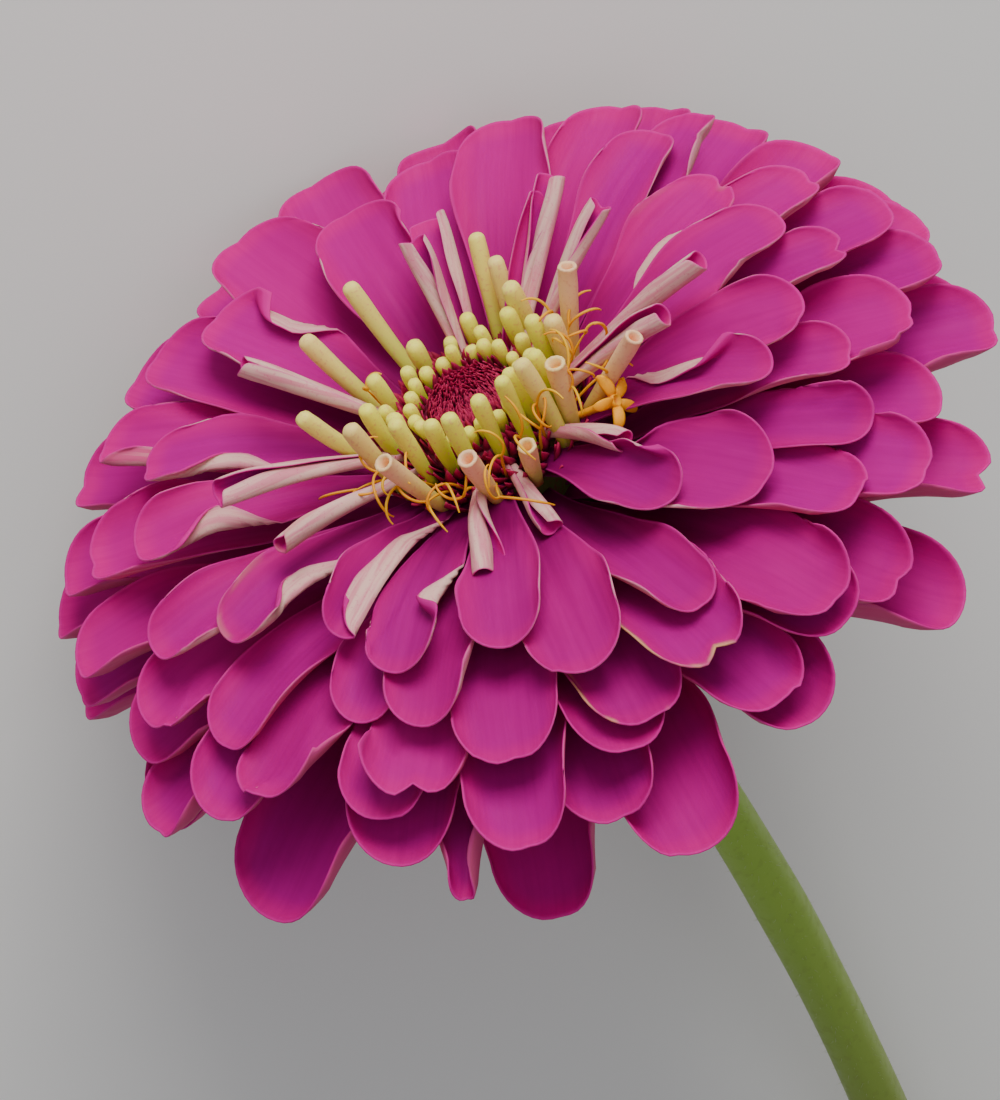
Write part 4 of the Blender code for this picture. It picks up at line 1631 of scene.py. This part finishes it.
@dataclass
class DiscChaff:
    """Crimson middle of the disc: a low dome covered with fringed scales."""

    finish: bpy.types.Material
    tree: GrowthTree
    floor_sides: int = 40

    SEED: ClassVar[int] = 41
    BEDS: ClassVar[tuple[ChaffBed, ...]] = (
        ChaffBed(700, (0.0, 4.7), (-0.95, -1.0), (-4, -20), 16, (0.95, 1.5), (0.0, 1.0), 0.5, 0.5),
        ChaffBed(440, (5.0, 11.0), (-1.6, -5.8), (6, 42), 14, (2.0, 3.0), (0.3, 1.0), 0.0, 1.0),
    )
    SIDE_LEAN: ClassVar[Pair] = (-18, 18)
    SIZES: ClassVar[Pair] = (0.8, 1.2)
    SCALE: ClassVar[tuple[Pair, ...]] = ((0.0, 0.18), (0.35, 0.23), (0.7, 0.14), (1.0, 0.02))
    SCALE_DEPTH: ClassVar[float] = 0.05
    SCALE_BEND: ClassVar[float] = 0.12
    FLOOR: ClassVar[tuple[Pair, ...]] = (
        (0.1, -0.9), (3.0, -0.95), (4.6, -1.1), (6.0, -1.7), (7.2, -2.3), (7.6, -2.8), (7.6, -3.17),
        (0.1, -3.17),
    )

    def scale_shape(self) -> bpy.types.Object:
        """One narrow pointed scale of a few faces, 1 mm tall.

        Returns:
            Its object, which is only there to be scattered.
        """
        points, thick = [], self.SCALE_DEPTH
        for height, half in self.SCALE:
            bend = self.SCALE_BEND * height ** 2
            for across, depth in ((-half, 0.0), (0.0, -thick), (half, 0.0), (0.0, thick)):
                points.append((across * MM, (depth + bend) * MM, height * MM))
        faces = grid_faces(len(self.SCALE), 4, closed=True)[:, ::-1].tolist()
        faces += [[3, 2, 1, 0], [12, 13, 14, 15]]
        mesh = bpy.data.meshes.new("chaff_scale")
        mesh.from_pydata(points, [], faces)
        store(mesh, "along", np.repeat(np.array(self.SCALE)[:, 0], 4))
        return link("chaff_scale", mesh)

    def seats(self) -> bpy.types.Object:
        """Loose points for the scatter tree, one for each scale.

        Returns:
            An object whose points have a turn, a size and a tone.
        """
        draw = random.Random(self.SEED)
        head = HEAD.matrix().to_3x3()
        quarter = Matrix.Rotation(math.pi / 2, 3, "Z")
        places, turns, sizes, tones = [], [], [], []
        for bed in self.BEDS:
            for number in range(bed.scales):
                azimuth = len(places) * math.radians(GOLDEN_ANGLE)
                share = ((number + bed.first) / bed.scales) ** bed.power
                places.append(polar(mix(bed.reach, share) * MM, azimuth, mix(bed.level, share) * MM))
                lean = math.radians(mix(bed.lean, share) + draw.uniform(-bed.jitter, bed.jitter))
                sizes.append(mix(bed.size, share) * draw.uniform(*self.SIZES))
                sideways = math.radians(draw.uniform(*self.SIDE_LEAN))
                local = Euler((sideways, lean, azimuth)).to_matrix()
                turns.extend((head @ local @ quarter).to_euler())
                tones.append(draw.uniform(*bed.tones))
        mesh = bpy.data.meshes.new("chaff_seats")
        mesh.from_pydata(HEAD.place(np.array(places)).tolist(), [], [])
        for key, values in (("size", sizes), ("tone", tones), ("ripe", tones)):
            store(mesh, key, values)
        turn = mesh.attributes.new("turn", "FLOAT_VECTOR", "POINT")
        turn.data.foreach_set("vector", np.array(turns, np.float32))
        return link("chaff_seats", mesh)

    def floor(self) -> None:
        """Build the low dark dome that shows between the buds and the scales."""
        angle = np.arange(self.floor_sides) * 2 * math.pi / self.floor_sides
        rings = np.concatenate([polar(radius * MM, angle, level * MM) for radius, level in self.FLOOR])
        faces = grid_faces(len(self.FLOOR), self.floor_sides, closed=True).tolist()
        last = (len(self.FLOOR) - 1) * self.floor_sides
        faces.append(list(range(self.floor_sides)))
        faces.append([last + side for side in reversed(range(self.floor_sides))])
        bundle = MeshBundle()
        bundle.add(HEAD.place(rings), faces, {"along": 0.2, "ripe": 0.0, "tone": 0.3})
        settle(bundle.to_object("disc_floor", self.finish), "chaff_crimson", [])

    def build(self) -> None:
        """Build the dome, and scatter the scales over it as one piece."""
        self.floor()
        shape = self.scale_shape()
        values = {"Shape": shape, "Size": 1.0, "Finish": self.finish}
        chaff = self.tree.grow("disc_chaff_scales", self.seats(), values)
        bpy.data.objects.remove(shape)
        settle(chaff, "chaff_crimson", ["disc_chaff"])


@dataclass
class Styles:
    """Golden forked styles that curl out between the rolled florets."""

    finish: bpy.types.Material
    tree: GrowthTree
    girth: float = 0.15 * MM
    tip_taper: float = 0.45
    foot: Pair = (9.0 * MM, -4.6 * MM)
    foot_turns: Pair = (-0.06, 0.06)
    stalk_points: int = 10
    arm_points: int = 15
    arm_crowding: float = 1.25
    arm_lengths: Pair = (2.2, 3.2)
    arm_turns: Pair = (1.6, 3.8)
    arm_spread: Pair = (0.35, 0.8)
    arm_rise: Pair = (0.0, 0.5)
    arm_tips: Pair = (-0.6, 1.0)
    stalk_arch: Pair = (0.6, 1.4)

    SEED: ClassVar[int] = 17
    STYLE_SEED: ClassVar[int] = 5000
    STANDS: ClassVar[tuple[tuple[float, float, float, float], ...]] = (
        (286, 15.0, -0.5, 1.8), (291, 12.5, 0.5, 2.6), (303, 12.0, 0.8, 1.6), (312, 12.6, 0.6, 2.1),
        (322, 14.0, -0.4, 2.3), (331, 13.0, 0.8, 1.9), (338, 14.2, -0.2, 1.5), (352, 15.6, -0.6, 2.2),
        (0, 12.6, 1.6, 2.0), (12, 12.2, 2.0, 2.2), (22, 12.6, 1.4, 1.7), (30, 11.2, 2.8, 2.4),
        (47, 13.0, 1.8, 1.9), (54, 12.2, 2.4, 2.2), (58, 15.5, 0.8, 1.5), (66, 12.2, 2.0, 1.8),
        (70, 15.2, 1.2, 1.6), (80, 13.6, 1.6, 1.4), (88, 12.4, 1.8, 1.6), (97, 11.4, 2.4, 1.6),
        (232, 11.0, 1.0, 1.2),
    )

    def arm(self, base: np.ndarray, heading: np.ndarray, bend: np.ndarray, sweep: Pair) -> np.ndarray:
        """Points of an arm that starts ahead and bends towards a direction.

        Args:
            base: Where it starts.
            heading: Unit vector along its start.
            bend: Unit vector towards which it turns.
            sweep: Its length, and the angle that it turns through.

        Returns:
            Its points, one row each.
        """
        length, turn = sweep
        angle = np.linspace(0, 1, self.arm_points) ** self.arm_crowding * turn
        step = length / (self.arm_points - 1)
        ahead = np.cos(angle)[:, None] * heading + np.sin(angle)[:, None] * bend
        return base + np.concatenate([[np.zeros(3)], np.cumsum((ahead[1:] + ahead[:-1]) / 2 * step, axis=0)])

    def lines(self) -> list[np.ndarray]:
        """All threads in the head frame.

        Returns:
            Points of each style's stalk and of its two arms. A stand gives the azimuth of
            the fork, its radius and level in millimetres, and the size of the arms.
        """
        threads = []
        up = np.array([0, 0, 1.0])
        for number, (azimuth, reach, level, size) in enumerate(self.STANDS):
            draw = random.Random(self.STYLE_SEED + number)
            turn = math.radians(azimuth)
            foot = polar(self.foot[0], turn + draw.uniform(*self.foot_turns), self.foot[1])
            fork = polar(reach * MM, turn, level * MM)
            middle = (foot + fork) / 2 + up * (draw.uniform(*self.stalk_arch) * MM)
            way = np.linspace(0, 1, self.stalk_points)[:, None]
            threads.append((1 - way) ** 2 * foot + 2 * way * (1 - way) * middle + way ** 2 * fork)
            heading = unit(fork - middle)
            side = unit(np.cross(heading, up))
            for hand in (-1, 1):
                tip = draw.uniform(*self.arm_tips)
                apart = hand * side * draw.uniform(*self.arm_spread)
                start = unit(heading + apart + up * draw.uniform(*self.arm_rise))
                bend = unit(np.cross(start, unit(side * draw.uniform(-1, 1) + up * tip)) * hand)
                sweep = size * draw.uniform(*self.arm_lengths) * MM, draw.uniform(*self.arm_turns)
                threads.append(self.arm(fork, start, bend, sweep))
        return threads

    def build(self) -> None:
        """Sweep all threads as one piece."""
        points, edges, girths, shares, tones = [], [], [], [], []
        draw = random.Random(self.SEED)
        for line in self.lines():
            first = len(points)
            share = np.linspace(0, 1, len(line))
            points.extend(HEAD.place(line).tolist())
            edges.extend((first + step, first + step + 1) for step in range(len(line) - 1))
            girths.extend(self.girth * (1 - self.tip_taper * smooth(share, 0.7, 1)))
            shares.extend(share)
            tones.extend([draw.random()] * len(line))
        mesh = bpy.data.meshes.new("style_lines")
        mesh.from_pydata(points, edges, [])
        for key, values in (("girth", girths), ("along", shares), ("tone", tones), ("ripe", tones)):
            store(mesh, key, values)
        values = {"Sides": 6, "Thickness": 1.0, "Finish": self.finish}
        settle(self.tree.grow("golden_styles", link("style_lines", mesh), values), "disc_yellow", [])


@dataclass
class DiscFloret:
    """The one disc floret in flower: a tube that opens in a five-lobed star."""

    finish: bpy.types.Material
    azimuth: float = math.radians(51)
    lean: float = math.radians(67)
    foot: Pair = (8.9 * MM, -4.47 * MM)
    length: float = 8.4 * MM
    throat: float = 0.75 * MM
    lobes: int = 5
    first_lobe: float = 0.3
    lobe_length: float = 2.3 * MM
    lobe_width: float = 0.62 * MM
    lobe_curl: float = 1.5
    lobe_base: Pair = (0.97, 0.8)
    lobe_sink: Pair = (0.35, 0.65)
    tone: float = 0.5
    ripe: float = 0.3

    TUBE: ClassVar[tuple[Pair, ...]] = (
        (0.0, 0.45), (0.3, 0.5), (0.6, 0.6), (0.85, 0.85), (1.0, 1.0), (1.01, 0.8), (0.8, 0.55), (0.6, 0.2),
    )
    LOBE: ClassVar[tuple[float, ...]] = (0.7, 0.95, 1.05, 1.05, 1.0, 0.85, 0.6, 0.2)

    def frame_axes(self) -> tuple[np.ndarray, np.ndarray, np.ndarray]:
        """Unit vectors across, sideways and ahead of the tube, in the head frame."""
        turn = Matrix.Rotation(self.azimuth, 3, "Z") @ Matrix.Rotation(self.lean, 3, "Y")
        return tuple(np.array(turn.col[axis]) for axis in range(3))

    def build(self) -> None:
        """Build the tube and its star as one piece."""
        across, sideways, ahead = self.frame_axes()
        base = polar(self.foot[0], self.azimuth, self.foot[1])
        steps = np.array(self.TUBE)
        way = steps[:, 0] * self.length
        heading = np.tile(np.array(HEAD.matrix().to_3x3()) @ ahead, (len(steps), 1))
        spine = HEAD.place(base + way[:, None] * ahead)
        bundle = MeshBundle()
        tube = Tube(spine, heading, steps[:, 1] * self.throat, 10, lobes=5, groove=0.12)
        points, faces, rings = tube.shell()
        marks = {"ripe": self.ripe, "tone": self.tone}
        bundle.add(points, faces, {"along": (way / self.length)[rings], **marks})
        share = np.linspace(0, 1, len(self.LOBE))[:, None]
        curl = share * self.lobe_curl
        for lobe in range(self.lobes):
            angle = lobe * 2 * math.pi / self.lobes + self.first_lobe
            outward = across * math.cos(angle) + sideways * math.sin(angle)
            centre = base + ahead * self.length * self.lobe_base[0]
            centre = centre + outward * self.throat * self.lobe_base[1]
            rise = np.cos(curl) - self.lobe_sink[0] - self.lobe_sink[1] * (1 - share)
            centre = HEAD.place(centre + self.lobe_length * (outward * np.sin(curl) + ahead * rise))
            leaf = Tube(
                centre, np.gradient(centre, axis=0), self.lobe_width * np.array(self.LOBE), 8, lobes=1,
                groove=0.0, flatness=0.35,
            )
            points, faces, rings = leaf.shell()
            bundle.add(points, faces, {"along": (0.6 + 0.4 * share[:, 0])[rings], **marks})
        settle(bundle.to_object("open_disc_floret", self.finish), "disc_yellow", ["disc_floret"])


@dataclass
class Stem:
    """Cut stem with fine ribs, a swelling under the head, and short down."""

    finish: bpy.types.Material
    down_finish: bpy.types.Material
    tree: GrowthTree
    radius: float = 3.0 * MM
    length: float = 124 * MM
    bow: float = 3.4 * MM
    underside: float = -30 * MM
    fit_gap: float = 0.3 * MM
    rings: int = 90
    sides: int = 28
    skin: float = 0.99
    swelling: float = 0.10
    swelling_end: float = 0.1
    knots: int = 12
    knot_depth: float = 0.02

    SEED: ClassVar[int] = 11
    CUT: ClassVar[tuple[Pair, ...]] = ((0.93, 0.7), (0.5, 1.0))
    DOWN: ClassVar[dict[str, float]] = {
        "Density": 480000.0, "Length": 0.55 * MM, "Root Radius": 0.022 * MM, "Seed": 7,
    }

    def path(self, share: np.ndarray) -> np.ndarray:
        """Axis of the stem.

        Args:
            share: Shares of the way from under the head to the cut end.

        Returns:
            Its points in the world, one row each.
        """
        matrix = HEAD.matrix()
        top = np.array(matrix @ Vector((0, 0, self.underside - self.fit_gap)))
        end = np.array(matrix @ Vector((0, 0, self.underside - self.length)))
        end[2] = self.radius * math.cos(HEAD.tilt)
        places = top + (end - top) * share[:, None]
        places[:, 1] -= self.bow * np.sin(math.pi * share)
        return places

    def build(self) -> None:
        """Build the stem with its cut face, and its down."""
        share = np.linspace(0, 1, self.rings)
        axis = self.path(share)
        heading = np.gradient(axis, axis=0)
        draw = np.random.default_rng(self.SEED)
        swings = draw.uniform(-self.knot_depth, self.knot_depth, self.knots)
        knots = np.interp(share, np.linspace(0, 1, self.knots), swings)
        swelling = self.swelling * (1 - smooth(share, 0, self.swelling_end))
        girth = self.radius * (1 + swelling + knots) * self.skin
        mouth, paleness = np.array(self.CUT).T
        tube = Tube(
            np.concatenate([axis, axis[-1:].repeat(2, axis=0)]),
            np.concatenate([heading, heading[-1:].repeat(2, axis=0)]),
            np.concatenate([girth, girth[-1] * mouth]), self.sides, lobes=7, groove=0.035,
        )
        points, faces, rings = tube.shell()
        cut = np.concatenate([np.zeros(self.rings), paleness])[rings]
        way = np.concatenate([share, [1.0, 1.0]])[rings]
        bundle = MeshBundle()
        bundle.add(points, faces, {"along": 1 - way, "ripe": cut, "tone": 0.5})
        stem = bundle.to_object("ribbed_stem", self.finish)
        coat = link("stem_coat", stem.data.copy())
        settle(stem, "stem_green", ["stem"])
        settle(self.tree.grow("stem_down", coat, {**self.DOWN, "Finish": self.down_finish}), "stem_green", [])


@dataclass
class Involucre:
    """Rows of overlapping bracts that hold the head from below.

    Each row gives its number of bracts, radius and height of their foot and of their tip
    above the underside of the head, and their width, in millimetres.
    """

    finish: bpy.types.Material
    underside: float = -30 * MM
    rows: tuple[tuple[int, Pair, Pair, float], ...] = (
        (10, (3.2, -1.2), (7.9, 0.9), 4.2), (12, (4.2, -0.9), (9.2, 2.6), 4.6),
        (14, (5.4, -0.5), (9.9, 4.4), 4.6), (14, (6.6, 0.3), (9.9, 6.0), 4.4),
    )
    turns: Pair = (-0.06, 0.06)
    tip_spread: Pair = (-0.2, 0.3)
    elbow: Pair = (0.1, 0.6)

    SEED: ClassVar[int] = 23
    LOW_HANDLE: ClassVar[Pair] = (0.35, 0.65)
    HIGH_HANDLE: ClassVar[Pair] = (0.7, 0.3)

    def build(self) -> None:
        """Build all bracts as one piece."""
        bundle = MeshBundle()
        draw = random.Random(self.SEED)
        for row, (count, foot, tip, width) in enumerate(self.rows):
            for number in range(count):
                azimuth = (number + row * 0.5) * 2 * math.pi / count + draw.uniform(*self.turns)
                start = np.array([foot[0] * MM, self.underside + foot[1] * MM])
                reach = tip[0] + draw.uniform(*self.tip_spread)
                end = np.array([reach * MM, self.underside + tip[1] * MM])
                elbow = np.array([end[0] - self.elbow[0] * MM, start[1] + self.elbow[1] * MM])
                low = start * self.LOW_HANDLE[0] + elbow * self.LOW_HANDLE[1]
                high = elbow * self.HIGH_HANDLE[0] + end * self.HIGH_HANDLE[1]
                line = np.array([start, low, high, end])
                Floret(
                    azimuth, line, width / 2 * MM, claw=1.5 * MM, cup=-0.2 * MM, tip_cup=0.1 * MM,
                    rim=0.12 * MM, ripple=0.08 * MM, ripple_phase=draw.uniform(0, 6), notch=0.0,
                    tone=draw.random(), rows=12, columns=11, thickness=0.45 * MM,
                ).add_to(bundle)
        settle(bundle.to_object("bract_rows", self.finish), "stem_green", ["involucre"])


# ---- the studio

@dataclass(frozen=True)
class Lamp:
    """A square soft light: its place, the length of its side, its power and its colour."""

    name: str
    place: Triple
    size: float
    power: float
    colour: Colour


@dataclass
class Studio:
    """Floor, lights and camera."""

    view_from_axis: float = math.radians(48)
    roll: float = math.radians(28.8)
    distance: float = 900 * MM
    sensor: float = 36.0
    lens: float = 290.4
    across: float = -3.35 * MM
    upward: float = 15.8 * MM
    floor_size: float = 3.0
    floor_colour: Colour = (0.84, 0.83, 0.80)
    floor_roughness: float = 0.9
    sky_colour: Colour = (0.9, 0.93, 1.0)
    sky_strength: float = 0.3

    LAMPS: ClassVar[tuple[Lamp, ...]] = (
        Lamp("key_light", (0.95, -0.36, 0.42), 0.6, 12.0, (1.0, 0.98, 0.95)),
        Lamp("top_light", (0.40, -0.1, 0.95), 0.8, 2.0, (0.96, 0.98, 1.0)),
    )

    def camera(self) -> None:
        """Place the camera, which looks at the head from its own angle to the face axis."""
        turn = HEAD.matrix().to_3x3()
        toward = Vector((math.sin(self.view_from_axis), 0, math.cos(self.view_from_axis)))
        up = Vector((-math.cos(self.view_from_axis), 0, math.sin(self.view_from_axis)))
        right = Vector((0, 1, 0))
        image_right = turn @ (right * math.cos(self.roll) - up * math.sin(self.roll))
        image_up = turn @ (right * math.sin(self.roll) + up * math.cos(self.roll))
        data = bpy.data.cameras.new("camera")
        data.sensor_width = self.sensor
        data.lens = self.lens
        data.clip_start = 10 * MM
        data.clip_end = 20.0
        matrix = Matrix((image_right, image_up, turn @ toward)).transposed().to_4x4()
        middle = HEAD.matrix() @ (toward * self.distance)
        matrix.translation = middle - image_right * self.across - image_up * self.upward
        camera = link("camera", data)
        camera.matrix_world = matrix
        bpy.context.scene.camera = camera

    def light(self, lamp: Lamp) -> None:
        """Add a light that faces the bloom.

        Args:
            lamp: What it is like.
        """
        data = bpy.data.lights.new(lamp.name, "AREA")
        data.size = lamp.size
        data.energy = lamp.power
        data.color = lamp.colour
        item = link(lamp.name, data)
        item.location = lamp.place
        target = HEAD.matrix().translation
        item.rotation_euler = (target - Vector(lamp.place)).to_track_quat("-Z", "Y").to_euler()

    def floor(self) -> None:
        """Add the plain pale floor."""
        shape = bmesh.new()
        bmesh.ops.create_grid(shape, x_segments=1, y_segments=1, size=self.floor_size)
        mesh = bpy.data.meshes.new("floor")
        shape.to_mesh(mesh)
        shape.free()
        material, _, shader = new_material("floor_paper")
        shader.inputs["Base Color"].default_value = (*self.floor_colour, 1)
        shader.inputs["Roughness"].default_value = self.floor_roughness
        mesh.materials.append(material)
        link("floor", mesh)

    def build(self) -> None:
        """Set up floor, camera, lights and the even light all round."""
        self.floor()
        self.camera()
        for lamp in self.LAMPS:
            self.light(lamp)
        world = bpy.data.worlds.new("even_light")
        world.use_nodes = True
        sky = world.node_tree.nodes["Background"].inputs
        sky["Color"].default_value = (*self.sky_colour, 1)
        sky["Strength"].default_value = self.sky_strength
        bpy.context.scene.world = world


def main() -> None:
    logging.basicConfig(level=logging.INFO, format="%(message)s")
    effects = SharedEffects()
    petal = PetalFinish().material(effects)
    RayFlorets(petal).build()
    RolledFlorets(petal).build()
    Buds(BUD_FINISH.material(effects)).build()
    DiscChaff(CHAFF_FINISH.material(effects), scatter_tree()).build()
    Styles(STYLE_FINISH.material(effects), sweep_tree()).build()
    DiscFloret(DISC_FLORET_FINISH.material(effects)).build()
    Stem(STEM_FINISH.material(effects), DOWN_FINISH.material(effects), down_tree()).build()
    Involucre(BractFinish().material(effects)).build()
    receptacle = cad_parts["receptacle"]
    receptacle.data.materials.clear()
    receptacle.data.materials.append(RECEPTACLE_FINISH.material(effects))
    Studio().build()


if __name__ == "__main__":
    main()
